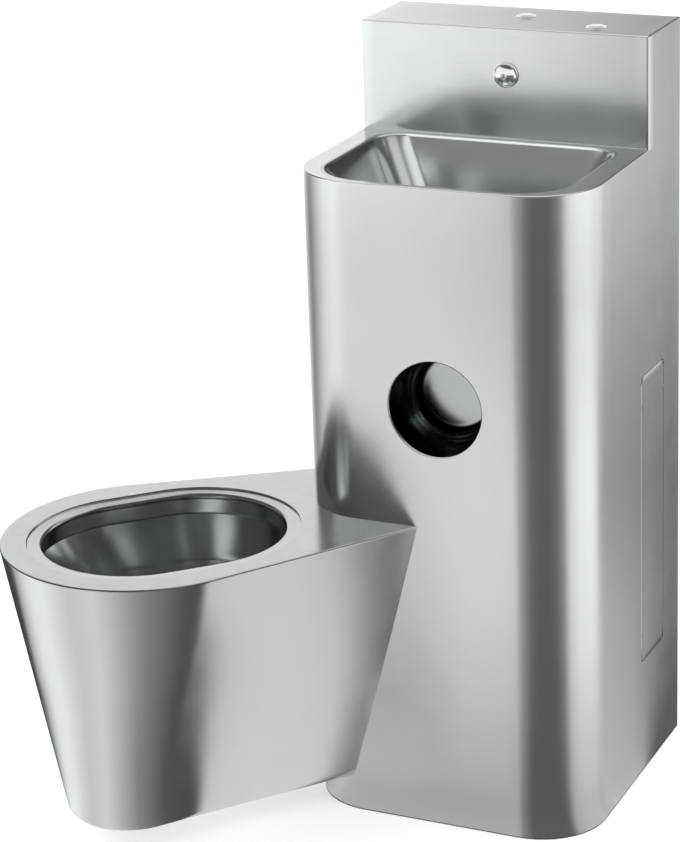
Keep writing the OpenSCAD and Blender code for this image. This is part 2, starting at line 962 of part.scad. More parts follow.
// Small tube that carries the puff of air down to the flush valve
module air_tube() {
    top = collar_low - bellows_h - nipple_h;
    color("dimgray") {
        translate([flush_button_x, -flush_button_y, air_low])
            tube(top - air_low, air_r, tube_wall);
        translate([flush_button_x - air_bend, -flush_button_y, air_low])
            rotate([-90, 0, 0])
                bend_tube(air_bend, 90, air_r, tube_wall);
        translate([flush_x + air_bend, -flush_button_y, air_low - air_bend])
            tube_x(flush_button_x - flush_x - 2 * air_bend, air_r, tube_wall);
        translate([flush_x + air_bend, -flush_button_y, air_low - 2 * air_bend])
            rotate([90, 0, 0])
                rotate([0, 0, 90])
                    bend_tube(air_bend, 90, air_r, tube_wall);
    }
}

// ---- Flush water ----

module flush_valve() {
    len = flush_valve_y1 - flush_valve_y0;
    color("tan")
        translate([flush_x, flush_valve_y0, flush_inlet_h]) {
            rotate([-90, 0, 0])
                difference() {
                    cylinder(h = len, r = flush_valve_r);
                    translate([0, 0, -eps])
                        cylinder(h = len + 2 * eps, r = flush_inlet_d / 2 - inlet_wall);
                }
            translate([0, -flush_button_y - flush_valve_y0, flush_valve_r - eps])
                cylinder(h = nipple_h + eps, r = nipple_r);
        }
}

module flush_inlet_pipe() {
    color("gainsboro")
        translate([flush_x, flush_valve_y1, flush_inlet_h])
            tube_y(-flush_valve_y1, flush_inlet_d / 2, inlet_wall);
}

// Where the two lengths of flush pipe meet, half way down their drop
function flush_joint_h() = (flush_inlet_h + flush_level) / 2;

// Pipe from the flush valve, turning down
module flush_pipe_upper() {
    turn_y = flush_y + flush_bend;
    upper = flush_inlet_h - flush_bend;
    color("gainsboro")
        translate([flush_x, turn_y, 0]) {
            translate([0, 0, flush_inlet_h])
                tube_y(flush_valve_y0 - turn_y, flush_d / 2, flush_wall);
            translate([0, 0, upper])
                rotate([0, -90, 0])
                    rotate([180, 0, 0])
                        bend_tube(flush_bend, 90, flush_d / 2, flush_wall);
            translate([0, -flush_bend, flush_joint_h()])
                tube(upper - flush_joint_h(), flush_d / 2, flush_wall);
        }
}

// Sleeve that joins the two lengths of flush pipe
module flush_union() {
    color("tan")
        translate([flush_x, flush_y, flush_joint_h() - union_len / 2])
            tube(union_len, flush_d / 2 + union_wall, union_wall);
}

// Pipe that turns out along the pan's axis to the flushing rim
module flush_pipe_lower() {
    lower = flush_level + flush_bend;
    turn_reach = flush_bend - flush_drop;
    end_reach = mouth_reach - mouth_len - channel_r - fit_gap;
    color("gainsboro")
        on_pan_axis() {
            translate([-flush_drop, 0, lower])
                tube(flush_joint_h() - lower, flush_d / 2, flush_wall);
            translate([turn_reach, 0, lower])
                rotate([90, 0, 0])
                    rotate([0, 0, 180])
                        bend_tube(flush_bend, 90, flush_d / 2, flush_wall);
            translate([turn_reach, 0, flush_level])
                tube_x(end_reach - turn_reach, flush_d / 2, flush_wall);
        }
}

module flush_pipe_seal() {
    color("dimgray")
        on_pan_axis()
            translate([corner_r + flush_seal_off, 0, flush_level])
                tube_x(flush_seal_len, flush_d / 2 + flush_seal_wall, flush_seal_wall);
}

// ---- Pan ----

module pan_skirt() {
    color("silver")
        difference() {
            on_pan_axis()
                difference() {
                    pan_body(0, pan_under_h, rim_h - pan_sheet);
                    pan_body(pan_sheet, pan_under_h + pan_sheet, rim_h - pan_sheet + eps);
                }
            cabinet_block(0, rim_h + eps);
        }
}

// Rim plate with the seat ring one step down in it
module pan_top() {
    color("silver")
        difference() {
            on_pan_axis() {
                translate([0, 0, rim_h - pan_sheet])
                    linear_extrude(pan_sheet)
                        difference() {
                            pan_plan(nose_reach, nose_r, nose_taper);
                            long_round(seat_reach, seat_len, seat_r);
                        }
                translate([0, 0, rim_under])
                    linear_extrude(seat_drop)
                        difference() {
                            long_round(seat_reach, seat_len, seat_r + pan_sheet);
                            long_round(seat_reach, seat_len, seat_r);
                        }
                translate([0, 0, rim_under])
                    linear_extrude(pan_sheet)
                        difference() {
                            long_round(seat_reach, seat_len, seat_r + pan_sheet);
                            long_round(mouth_reach, mouth_len, mouth_r);
                        }
            }
            cabinet_block(rim_under - eps, rim_h - rim_under + 2 * eps);
        }
}

// Hollow channel round the mouth that spreads the flush water
module flushing_rim() {
    color("silver")
        on_pan_axis()
            difference() {
                translate([0, 0, channel_low])
                    linear_extrude(channel_h)
                        difference() {
                            long_round(mouth_reach, mouth_len, channel_r);
                            long_round(mouth_reach, mouth_len, mouth_r);
                        }
                translate([0, 0, channel_low + channel_wall])
                    linear_extrude(channel_h)
                        difference() {
                            long_round(mouth_reach, mouth_len, channel_r - channel_wall);
                            long_round(mouth_reach, mouth_len, mouth_r + channel_wall);
                        }
                translate([mouth_reach - mouth_len - channel_r - eps, 0, flush_level])
                    rotate([0, 90, 0])
                        cylinder(h = channel_w / 2, r = flush_d / 2 - flush_wall);
                for (end = [0, 1])
                    for (k = [0:jet_count - 1])
                        translate([mouth_reach - end * mouth_len, 0, channel_low - eps])
                            rotate([0, 0, end * 180 + jet_arc * (k / (jet_count - 1) - 0.5)])
                                translate([mouth_r + channel_w / 2, 0, 0])
                                    cylinder(h = channel_wall + 2 * eps, d = jet_d);
            }
}

// Thin slab at the level of the bowl's shoulder
module bowl_shoulder(grow) {
    translate([0, 0, channel_low - shoulder_drop])
        linear_extrude(slab)
            long_round(mouth_reach - shoulder_back, mouth_len - shoulder_short,
                       bowl_r - shoulder_in + grow);
}

// Solid shape of the pan's bowl down to the height low, carried on upwards by over
module bowl_form(grow, low, over) {
    hull() {
        translate([0, 0, channel_low - slab])
            linear_extrude(slab + over)
                long_round(mouth_reach, mouth_len, bowl_r + grow);
        bowl_shoulder(grow);
    }
    hull() {
        bowl_shoulder(grow);
        translate([sump_reach, 0, low + sump_edge_h])
            linear_extrude(slab)
                circle(sump_r + sump_slope + grow);
        translate([sump_reach, 0, low])
            linear_extrude(slab)
                circle(sump_r - sump_slope + grow);
    }
}

module pan_bowl() {
    color("gray")
        on_pan_axis()
            difference() {
                bowl_form(pan_sheet, sump_h, 0);
                bowl_form(0, sump_h + pan_sheet, eps);
                translate([sump_reach, 0, sump_h - eps])
                    cylinder(h = pan_sheet + 2 * eps, r = trap_bore / 2);
            }
}

// Water trap of the pan: down, round, up and out towards the cabinet
module pan_trap() {
    rise = outlet_h - trap_bend - trap_low;
    color("darkgray")
        on_pan_axis() {
            translate([sump_reach, 0, trap_low])
                tube(sump_h - trap_low, trap_r, pan_sheet);
            translate([sump_reach - trap_bend, 0, trap_low])
                rotate([90, 0, 0])
                    rotate([0, 0, 180])
                        bend_tube(trap_bend, 180, trap_r, pan_sheet);
            translate([trap_rise_reach, 0, trap_low])
                tube(rise, trap_r, pan_sheet);
            translate([trap_rise_reach - trap_bend, 0, trap_low + rise])
                rotate([90, 0, 0])
                    bend_tube(trap_bend, 90, trap_r, pan_sheet);
            translate([trap_end_reach, 0, outlet_h])
                tube_x(trap_rise_reach - trap_bend - trap_end_reach, trap_r, pan_sheet);
        }
}

// Rubber sleeve that joins the trap to the wider waste pipe
module trap_coupling() {
    color("dimgray")
        on_pan_axis()
            difference() {
                translate([coupling_back, 0, outlet_h])
                    rotate([0, 90, 0])
                        cylinder(h = coupling_front - coupling_back, r = waste_r + coupling_wall);
                translate([coupling_back - eps, 0, outlet_h])
                    rotate([0, 90, 0])
                        cylinder(h = coupling_step - coupling_back + eps, r = waste_r);
                translate([coupling_back, 0, outlet_h])
                    rotate([0, 90, 0])
                        cylinder(h = coupling_front - coupling_back + eps, r = trap_r);
            }
}

// The waste pipe's three lengths: along the pan's axis, round 45 degrees, and square to the wall
module waste_pipe() {
    color("darkgray")
        on_pan_axis()
            translate([-waste_turn, 0, outlet_h])
                tube_x(waste_turn + coupling_step, waste_r, pan_sheet);
}

module waste_bend() {
    color("darkgray")
        translate([-outlet_bend, waste_turn_y, outlet_h])
            rotate([0, 0, -45])
                bend_tube(outlet_bend, 45, waste_r, pan_sheet);
}

module outlet_pipe() {
    color("darkgray")
        translate([0, waste_turn_y, outlet_h])
            tube_y(-waste_turn_y, waste_r, pan_sheet);
}

cabinet_shell();
deck_plate();
splash_cover();
wall_frame();
floor_frame();
roll_holder();
hatch_frame();
access_hatch();
hatch_screws();
basin_bowl();
basin_waste();
basin_grid();
waste_seal();
waste_nut();
bottle_trap();
trap_cup();
basin_outlet_pipe();
spout();
spout_seal();
spout_nut();
spout_tube();
basin_valve();
basin_inlet_pipe();
basin_button();
basin_button_collar();
basin_button_nut();
basin_button_spring();
flush_button();
flush_button_collar();
flush_button_nut();
flush_button_spring();
flush_bellows();
air_tube();
flush_valve();
flush_inlet_pipe();
flush_pipe_upper();
flush_union();
flush_pipe_lower();
flush_pipe_seal();
pan_skirt();
pan_top();
flushing_rim();
pan_bowl();
pan_trap();
trap_coupling();
waste_pipe();
waste_bend();
outlet_pipe();
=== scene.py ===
import functools
import json
import math

import bmesh
import bpy
import numpy as np
from bpy.props import FloatProperty, FloatVectorProperty, PointerProperty
from mathutils import Matrix, Vector


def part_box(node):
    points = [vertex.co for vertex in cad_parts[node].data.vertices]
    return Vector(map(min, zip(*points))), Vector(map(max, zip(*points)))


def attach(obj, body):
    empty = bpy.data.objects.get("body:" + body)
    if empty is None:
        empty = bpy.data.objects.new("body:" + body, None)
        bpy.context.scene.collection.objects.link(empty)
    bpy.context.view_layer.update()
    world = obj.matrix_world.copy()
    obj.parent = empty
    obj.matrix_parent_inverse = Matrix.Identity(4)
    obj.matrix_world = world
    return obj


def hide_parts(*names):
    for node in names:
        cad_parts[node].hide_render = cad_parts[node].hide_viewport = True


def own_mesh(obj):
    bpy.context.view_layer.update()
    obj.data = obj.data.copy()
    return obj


bl_info = {
    "name": "Washroom unit looks",
    "version": (1, 0, 0),
    "blender": (4, 5, 0),
    "location": "3D View > Sidebar > Washroom",
    "description": "Surfaces, finishes and stage for a steel toilet and washbasin unit",
    "category": "Object",
}

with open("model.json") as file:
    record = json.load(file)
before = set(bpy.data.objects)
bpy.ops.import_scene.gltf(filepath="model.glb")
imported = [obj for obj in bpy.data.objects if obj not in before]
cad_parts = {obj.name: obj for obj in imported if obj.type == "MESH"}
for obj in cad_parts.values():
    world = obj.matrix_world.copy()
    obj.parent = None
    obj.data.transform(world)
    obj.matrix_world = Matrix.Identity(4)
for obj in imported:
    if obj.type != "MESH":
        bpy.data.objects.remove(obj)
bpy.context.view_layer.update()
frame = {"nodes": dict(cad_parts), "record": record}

MERGE = 1e-5
ARC_STEPS = 6
SHARP = math.radians(40)
PATCH = 0.010
ROLL_PATCH = 0.018
CORNER_STEPS = 28
FLANGE = 0.003
BASIN_STEPS = 16
BASIN_SIDE_STEPS = 12
BUTTON_X = 0.115
BUTTON_Y = (0.052, 0.092)
BUTTON_HOLE = 0.0118
UP, DOWN = np.array([[0, 0, 1.0]]), np.array([[0, 0, -1.0]])
BACK, FRONT = np.array([[0, 1.0, 0]]), np.array([[0, -1.0, 0]])

CABINET_LOW, CABINET_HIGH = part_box("cabinet_shell")
DECK_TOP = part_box("deck_plate")[1].z
SPLASH_LOW, SPLASH_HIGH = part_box("splash_cover")
PAN_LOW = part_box("pan_skirt")[0].z
RIM_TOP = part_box("pan_top")[1].z
BOWL_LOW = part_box("pan_bowl")[0].z
BASIN_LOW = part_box("basin_bowl")[0].z + 0.0015


def length(default, text):
    """A length setting in metres."""
    return FloatProperty(name=text, description=text, unit="LENGTH", subtype="DISTANCE",
                         min=0.0, precision=4, default=default)


def angle(default, text):
    """An angle setting, given in degrees."""
    return FloatProperty(name=text, description=text, subtype="ANGLE",
                         default=math.radians(default))


def colour(default, text):
    """A colour setting."""
    return FloatVectorProperty(name=text, description=text, subtype="COLOR", size=3,
                               min=0.0, max=1.0, default=default)


def share(default, text):
    """A setting from 0 to 1."""
    return FloatProperty(name=text, description=text, subtype="FACTOR", min=0.0, max=1.0,
                         default=default)


# ---- Settings ----

class WashroomFinish(bpy.types.PropertyGroup):
    """Colours and gloss of the unit's materials"""

    satin_colour: colour((0.78, 0.802, 0.803), "Colour of the polished sheet steel")
    satin_roughness: share(0.2, "How blurred the steel's reflections are")
    bowl_roughness: share(0.17, "How blurred the pan's inside reflects")
    inner_colour: colour((0.71, 0.738, 0.745), "Colour of the steel inside the unit")
    chrome_colour: colour((0.86, 0.86, 0.87), "Colour of the buttons and the spout")
    chrome_roughness: share(0.06, "Roughness of the chrome")
    brass_colour: colour((0.62, 0.47, 0.22), "Colour of the valves")
    rubber_colour: colour((0.02, 0.02, 0.022), "Colour of the seals and couplings")
    hose_colour: colour((0.16, 0.17, 0.18), "Colour of the air hose")


class WashroomCabinet(bpy.types.PropertyGroup):
    """Sizes of the cabinet, its splashback box, roll holder and hatch"""

    width: length(CABINET_HIGH.x - CABINET_LOW.x, "Width of the cabinet")
    depth: length(-CABINET_LOW.y, "Depth of the cabinet")
    deck: length(DECK_TOP, "Height of the deck")
    top: length(SPLASH_HIGH.z, "Height of the splashback box")
    splash: length(-SPLASH_LOW.y, "Depth of the splashback box")
    corner: length(0.088, "Radius of the upright corners")
    sheet: length(0.0015, "Thickness of the sheet")
    edge: length(0.0015, "Radius of the folded edges")
    offset: length(0.005, "Distance of spout and roll holder from the middle")
    roll_radius: length(0.062, "Radius of the roll holder")
    roll_height: length(0.571, "Height of the roll holder's centre")
    roll_depth: length(0.072, "Depth of the roll holder at its middle")
    roll_dish: length(0.900, "Radius of the roll holder's slightly dished back")
    roll_lip: length(0.002, "Radius of the roll holder's edge")
    roll_bend: length(0.020, "Radius inside the roll holder's back edge")
    hatch_low: length(0.160, "Height of the hatch opening's lower edge")
    hatch_height: length(0.400, "Height of the hatch opening")
    hatch_back: length(0.063, "Distance of the hatch opening from the wall")
    hatch_width: length(0.093, "Width of the hatch opening")
    hatch_cut: length(0.008, "Cut across the hatch opening's corners")
    hatch_gap: length(0.001, "Gap round the hatch")


class WashroomBasin(bpy.types.PropertyGroup):
    """Sizes of the basin"""

    width: length(0.326, "Width of the opening")
    front: length(0.373, "Distance of the opening's front from the wall")
    back: length(0.138, "Distance of the opening's back from the wall")
    front_corner: length(0.066, "Radius of the front corners")
    back_corner: length(0.038, "Radius of the back corners")
    lean: length(0.044, "Lean of the front and side walls")
    back_lean: length(0.022, "Lean of the back wall")
    bend: length(0.034, "Radius between the walls and the floor")
    plan_bend: length(0.006, "Radius of the floor's corners")
    lip: length(0.005, "Radius of the rolled rim")
    fall: length(0.002, "Fall of the floor to the drain")
    drain: length(0.226, "Distance of the drain from the wall")
    flange: length(0.029, "Radius of the drain's flange")
    tube: length(0.020, "Radius of the drain's tube")


class WashroomPan(bpy.types.PropertyGroup):
    """Sizes of the toilet pan, along its own axis from the cabinet's corner centre"""

    under: length(PAN_LOW, "Height of the underside")
    rim: length(RIM_TOP, "Height of the rim")
    nose_reach: length(0.324, "Distance of the rim's nose centre")
    nose: length(0.182, "Radius of the rim's nose")
    nose_taper: angle(11, "Angle of the rim's sides")
    foot_reach: length(0.360, "Distance of the underside's nose centre")
    foot: length(0.081, "Radius of the underside's nose")
    foot_taper: angle(6, "Angle of the underside's sides")
    foot_bend: length(0.012, "Radius round the underside")
    foot_end_bend: length(0.020, "That radius next to the cabinet")
    rim_bend: length(0.0018, "Radius round the rim")
    sheet: length(0.002, "Thickness of the pan's sheet")
    seat: length(0.1395, "Radius of the seat ring's ends")
    seat_half: length(0.036, "Half the distance between the seat ring's ends")
    seat_drop: length(0.0022, "Step from the rim down to the seat ring")
    mouth: length(0.122, "Radius of the opening's ends")
    mouth_half: length(0.034, "Half the distance between the opening's ends")
    centre: length(0.297, "Distance of the opening's centre")
    mouth_roll: length(0.0042, "Radius of the bead round the opening")
    channel: length(0.0335, "Drop from the rim to the flushing channel's underside")


class WashroomStage(bpy.types.PropertyGroup):
    """Floor, light and camera"""

    camera_place: FloatVectorProperty(
        name="Camera", description="Where the camera stands",
        subtype="TRANSLATION", unit="LENGTH", size=3, default=(1.315, -3.454, 1.753))
    camera_yaw: angle(25.06, "Turn of the camera to the left")
    camera_pitch: angle(17.64, "Tilt of the camera downwards")
    camera_roll: angle(-1.94, "Roll of the camera")
    lens: FloatProperty(name="Lens", description="Focal length in millimetres", min=1.0,
                        default=122.02)
    shift: FloatProperty(name="Shift", description="Upward shift of the frame", default=-0.12)
    floor_colour: colour((0.9, 0.9, 0.9), "Colour of the floor")
    floor_glow: share(0.40, "Light added to the floor that the camera sees")
    floor_size: length(14.0, "Half the width of the floor")


# ---- Surfaces ----

def unit(v):
    """Each vector divided by its own length."""
    return v / np.linalg.norm(v, axis=-1, keepdims=True)


def spans(*ends):
    """Stations from (from, to, steps) spans, sorted, each once."""
    parts = [np.linspace(a, b, steps + 1) for a, b, steps in ends]
    return np.unique(np.round(np.concatenate(parts), 7))


def grid(rows, closed=False):
    """Quads between neighbouring rows and columns of points; closed joins the last column to
    the first."""
    rows = np.asarray(rows, float)
    count, width = rows.shape[:2]
    first = np.arange(count - 1)[:, None] * width
    j = np.arange(width if closed else width - 1)[None, :]
    k = (j + 1) % width
    quads = np.stack([first + j, first + k, first + width + k, first + width + j], axis=-1)
    return rows.reshape(-1, 3), quads.reshape(-1, 4)


def pierced(us, vs, blocks):
    """The flat grid over stations us and vs, third coordinate 0, without the cells inside
    each block (u from, u to, v from, v to)."""
    flat = np.stack([*np.meshgrid(us, vs, indexing="ij"), np.zeros((len(us), len(vs)))], axis=-1)
    points, quads = grid(flat)
    u = (us[1:] + us[:-1]) / 2
    v = (vs[1:] + vs[:-1]) / 2
    keep = np.ones((len(u), len(v)), bool)
    for u0, u1, v0, v1 in blocks:
        keep &= ~np.outer((u > u0) & (u < u1), (v > v0) & (v < v1))
    return points, quads[keep.ravel()]


def border(us, vs, block):
    """The grid's own points once round the edge of a block, from its lowest corner."""
    u = us[(us > block[0] - MERGE) & (us < block[1] + MERGE)]
    v = vs[(vs > block[2] - MERGE) & (vs < block[3] + MERGE)]
    a, b = np.ones(len(u) - 1), np.ones(len(v) - 1)
    round_u = np.concatenate([u[:-1], b * u[-1], u[:0:-1], b * u[0]])
    round_v = np.concatenate([a * v[0], v[:-1], a * v[-1], v[:0:-1]])
    return np.stack([round_u, round_v, 0 * round_u], axis=-1)


def ease(a, b, steps):
    """Rows that pass from row a to row b in equal steps, both included."""
    return np.linspace(a, b, steps + 1)


def fillet(edge, a, b, radius, steps=ARC_STEPS):
    """Rows round a sharp edge between two surfaces that leave it along a and b. The arc's
    centre lies on the middle direction, at radius over the sine of half the angle, and the
    rows turn evenly from the foot of the centre on a to its foot on b."""
    a, b = unit(a), unit(b)
    middle = unit(a + b)
    half = np.arccos(np.clip((a * middle).sum(-1, keepdims=True), -1, 1))
    centre = edge + middle * radius / np.sin(half)
    start = edge + a * radius / np.tan(half) - centre
    end = edge + b * radius / np.tan(half) - centre
    turn = math.pi - 2 * half
    t = np.linspace(0, 1, steps + 1)[:, None, None]
    return centre + (np.sin((1 - t) * turn) * start + np.sin(t * turn) * end) / np.sin(turn)


def rounded(corners, steps=ARC_STEPS):
    """A profile through corners (x, y, radius): each corner with a radius becomes an arc with
    a spare point before and after it, so that flats stay flat."""
    corners = np.asarray(corners, float)
    flat = np.column_stack([corners[:, :2], np.zeros(len(corners))])
    out = [flat[:1]]
    for k in range(1, len(flat) - 1):
        radius = corners[k, 2]
        if radius == 0:
            out.append(flat[k:k + 1])
            continue
        before, after = flat[k - 1] - flat[k], flat[k + 1] - flat[k]
        arc = fillet(flat[k:k + 1], before[None], after[None], radius, steps)[:, 0]
        spare = 0.3 * radius
        out += [arc[:1] + unit(before) * spare, arc, arc[-1:] + unit(after) * spare]
    out.append(flat[-1:])
    return np.concatenate(out)[:, :2]


def turned(profile, place, axis, count=64):
    """A profile of (radius, distance along the axis) turned once round an axis."""
    axis = np.asarray(axis, float)
    side = np.cross(axis, [0.31, 0.59, 0.74])
    side = unit(side)
    other = np.cross(axis, side)
    angle = np.arange(count) * math.tau / count
    ring = np.cos(angle)[:, None] * side + np.sin(angle)[:, None] * other
    profile = np.asarray(profile)
    rows = np.asarray(place) + profile[:, :1, None] * ring + profile[:, 1, None, None] * axis
    return grid(rows, closed=True)


def piece(name, parts, body, finish, inside, wall=0.0, nodes=()):
    """Joins the parts into one smooth mesh. Points that meet are merged, faces are turned
    away from the point inside, and wall gives the sheet its thickness behind them."""
    start = np.cumsum([0] + [len(points) for points, _ in parts])
    faces = np.concatenate([quads + k for (_, quads), k in zip(parts, start)])
    points = np.concatenate([points for points, _ in parts])
    used, faces = np.unique(faces, return_inverse=True)
    points, faces = points[used], faces.reshape(-1, 4)
    mesh = bpy.data.meshes.new(name)
    mesh.vertices.add(len(points))
    mesh.vertices.foreach_set("co", points.astype(np.float32).ravel())
    mesh.loops.add(faces.size)
    mesh.loops.foreach_set("vertex_index", faces.astype(np.int32).ravel())
    mesh.polygons.add(len(faces))
    mesh.polygons.foreach_set("loop_start", np.arange(0, faces.size, 4, dtype=np.int32))
    mesh.update(calc_edges=True)
    work = bmesh.new()
    work.from_mesh(mesh)
    bmesh.ops.remove_doubles(work, verts=work.verts, dist=MERGE)
    bmesh.ops.recalc_face_normals(work, faces=work.faces)
    work.to_mesh(mesh)
    work.free()
    centre = np.empty(3 * len(mesh.polygons), np.float32)
    normal, area = centre.copy(), np.empty(len(mesh.polygons), np.float32)
    mesh.polygons.foreach_get("center", centre)
    mesh.polygons.foreach_get("normal", normal)
    mesh.polygons.foreach_get("area", area)
    away = (centre.reshape(-1, 3) - np.asarray(inside)) * normal.reshape(-1, 3)
    if (away.sum(axis=-1) * area).sum() < 0:
        mesh.flip_normals()
    obj = bpy.data.objects.new(name, mesh)
    bpy.context.scene.collection.objects.link(obj)
    if wall:
        solid = obj.modifiers.new("wall", "SOLIDIFY")
        solid.thickness = wall
        solid.offset = -1.0
        solid.use_even_offset = True
        graph = bpy.context.evaluated_depsgraph_get()
        thick = bpy.data.meshes.new_from_object(obj.evaluated_get(graph))
        obj.modifiers.clear()
        obj.data = thick
        thick.name = name
        bpy.data.meshes.remove(mesh)
    obj.data.shade_smooth()
    obj.data.set_sharp_from_angle(angle=SHARP)
    obj.data.materials.clear()
    obj.data.materials.append(bpy.data.materials[finish])
    if nodes:
        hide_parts(*nodes)
    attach(obj, body)
    return obj


# ---- Cabinet ----

def knots(size):
    """Distances along the cabinet's outline, from the wall on the left round to the wall on
    the right, at which straight sides and corners change over."""
    side = size.depth - size.corner
    arc = size.corner * math.pi / 2
    front = size.width - 2 * size.corner
    return np.cumsum([0.0, side, arc, front, arc, side])


def wrap(size, points):
    """Points (distance along the outline, height, depth behind the skin) put round the
    cabinet. A centre path runs inside the outline at the corner radius, the normal turns a
    quarter turn at each corner, and a point is centre + normal x (radius - depth)."""
    along, height, depth = np.moveaxis(np.asarray(points, float), -1, 0)
    marks = knots(size)
    half = size.width / 2 - size.corner
    front = size.corner - size.depth
    turn = np.interp(along, marks, np.radians([0, 0, 90, 90, 180, 180]))
    x = np.interp(along, marks, [-half, -half, -half, half, half, half])
    y = np.interp(along, marks, [0, front, front, front, front, 0])
    out = size.corner - depth
    return np.stack([x - out * np.cos(turn), y - out * np.sin(turn), height], axis=-1)


def outline_stations(size):
    """Stations along the cabinet's outline, fine round the corners and fitted to the roll
    holder, the hatch and the splashback box."""
    m = knots(size)
    fold = size.splash - size.edge
    hatch = (size.hatch_back - PATCH, size.hatch_back + size.hatch_width + PATCH)
    middle = (m[2] + m[3]) / 2 + size.offset
    roll = size.roll_radius + ROLL_PATCH
    left = spans((m[0], fold, 4), (fold, size.splash, 1), (size.splash, m[1], 6))
    front = spans((m[2], middle - roll, 2), (middle - roll, middle + roll, 20),
                  (middle + roll, m[3], 2))
    right = m[5] - spans((m[0], hatch[0], 2), (hatch[0], fold, 4), (fold, size.splash, 1),
                         (size.splash, hatch[1], 2), (hatch[1], size.depth - size.corner, 4))
    return spans(*[(s, s, 0) for s in (*left, *front, *right)],
                 (m[1], m[2], CORNER_STEPS), (m[3], m[4], CORNER_STEPS))


def hatch_block(size):
    """The block of the outline and the heights that the hatch takes up, with its margin."""
    end = knots(size)[5]
    return (end - size.hatch_back - size.hatch_width - PATCH, end - size.hatch_back + PATCH,
            size.hatch_low - PATCH, size.hatch_low + size.hatch_height + PATCH)


def roll_block(size):
    """The block of the outline and the heights that the roll holder takes up."""
    m = knots(size)
    middle = (m[2] + m[3]) / 2 + size.offset
    reach = size.roll_radius + ROLL_PATCH
    return (middle - reach, middle + reach, size.roll_height - reach, size.roll_height + reach)


def cut_corners(edge, block, grow, cut, depth=0.0):
    """The edge points of a block moved out by grow, its corners cut off: a point next to a
    corner goes to an end of the cut, and the corner itself to its middle."""
    low, high = np.array([block[0], block[2]]), np.array([block[1], block[3]])
    new_low, new_high = low - grow, high + grow
    flat = edge[:, :2]
    at_low = np.isclose(flat, low, rtol=0, atol=MERGE)
    at_high = np.isclose(flat, high, rtol=0, atol=MERGE)
    out = np.clip(flat, new_low + cut, new_high - cut)
    out = np.where(at_low, new_low, np.where(at_high, new_high, out))
    corner = (at_low | at_high).all(axis=1)
    out[corner] += (np.where(at_low, 1, -1) * cut / 2)[corner]
    return np.column_stack([out, np.full(len(out), depth)])


def round_loop(edge, centre, radius, depth):
    """A circle with one point for each point of the edge, in the same order."""
    turn = np.arange(len(edge)) * math.tau / len(edge) - 3 * math.pi / 4
    return np.column_stack([centre[0] + radius * np.cos(turn), centre[1] + radius * np.sin(turn),
                            np.full(len(edge), depth)])


class WASHROOM_OT_cabinet(bpy.types.Operator):
    """Makes the cabinet's folded skin with the holes for the roll and the hatch"""

    bl_idname = "washroom.cabinet"
    bl_label = "Cabinet skin"

    def execute(self, context):
        size = context.scene.washroom_cabinet
        end, r = knots(size)[5], size.edge
        roll, hatch = roll_block(size), hatch_block(size)
        us = outline_stations(size)
        fold = size.deck - r
        vs = spans((0, hatch[2], 4), (hatch[2], roll[2], 8), (roll[2], roll[3], 20),
                   (hatch[3], hatch[3], 1), (roll[3], fold - r, 6), (fold - r, fold, 1))
        points, quads = pierced(us, vs, [roll, hatch])
        parts = [(wrap(size, points), quads)]

        edge = border(us, vs, roll)
        centre = ((roll[0] + roll[1]) / 2, size.roll_height)
        lip = size.roll_lip
        bend = [round_loop(edge, centre, size.roll_radius + lip * (1 - math.sin(t)),
                           lip * (1 - math.cos(t)))
                for t in np.linspace(0, math.pi / 2, ARC_STEPS + 1)]
        wide = round_loop(edge, centre, size.roll_radius + 1.6 * lip, 0.0)
        points, quads = grid(np.concatenate([ease(edge, wide, 4), bend]), closed=True)
        parts.append((wrap(size, points), quads))

        edge = border(us, vs, hatch)
        hole = cut_corners(edge, hatch, -PATCH, size.hatch_cut)
        points, quads = grid(ease(edge, hole, 2), closed=True)
        parts.append((wrap(size, points), quads))

        s = us[(us > size.splash - r - MERGE) & (us < end - size.splash + r + MERGE)]
        brim = fold_over(size, s, size.deck)
        parts.append(grid(brim))
        parts += self.tab(size, us[us < size.splash - r + MERGE], -1)
        parts += self.tab(size, end - us[us > end - size.splash + r - MERGE], 1)
        piece("cabinet_skin", parts, "unit", "satin_steel",
              (0, -size.depth / 2, size.deck / 2), wall=size.sheet, nodes=["cabinet_shell"])
        return {"FINISHED"}

    @staticmethod
    def tab(size, stations, side):
        """The side of the splashback box above the deck: a flat sheet, a rolled edge along
        its top and its front with a narrow flange, and an eighth of a ball between them."""
        r = size.edge
        half, top, front = side * size.width / 2, size.top, -size.splash
        y = -np.sort(stations)
        z = spans((size.deck - r, size.deck, 1), (size.deck, top - 2 * r, 6),
                  (top - 2 * r, top - r, 1))
        sheet = np.stack([np.full((len(z), len(y)), half), *np.meshgrid(y, z)], axis=-1)
        parts = [grid(sheet)]
        inward = np.array([[-side, 0, 0.0]])
        roof = np.column_stack([np.full(len(y), half), y, np.full(len(y), top)])
        post = np.column_stack([np.full(len(z), half), np.full(len(z), front), z])
        for edge, along in ((roof, DOWN), (post, BACK)):
            bend = fillet(edge, along, inward, r)
            parts.append(grid(np.concatenate([bend, [bend[-1] + inward * FLANGE]])))
        x = half - side * np.array([r, r + FLANGE])
        brow = fillet(np.column_stack([x, [front] * 2, [top] * 2]), DOWN, BACK, r)
        lift = np.linspace(0, math.pi / 2, ARC_STEPS + 1)[:, None]
        swing = lift.T
        ball = np.stack([half - side * r + side * r * np.cos(lift) * np.cos(swing),
                         front + r - r * np.cos(lift) * np.sin(swing),
                         top - r + r * np.sin(lift) + 0 * swing], axis=-1)
        return [*parts, grid(brow), grid(ball)]


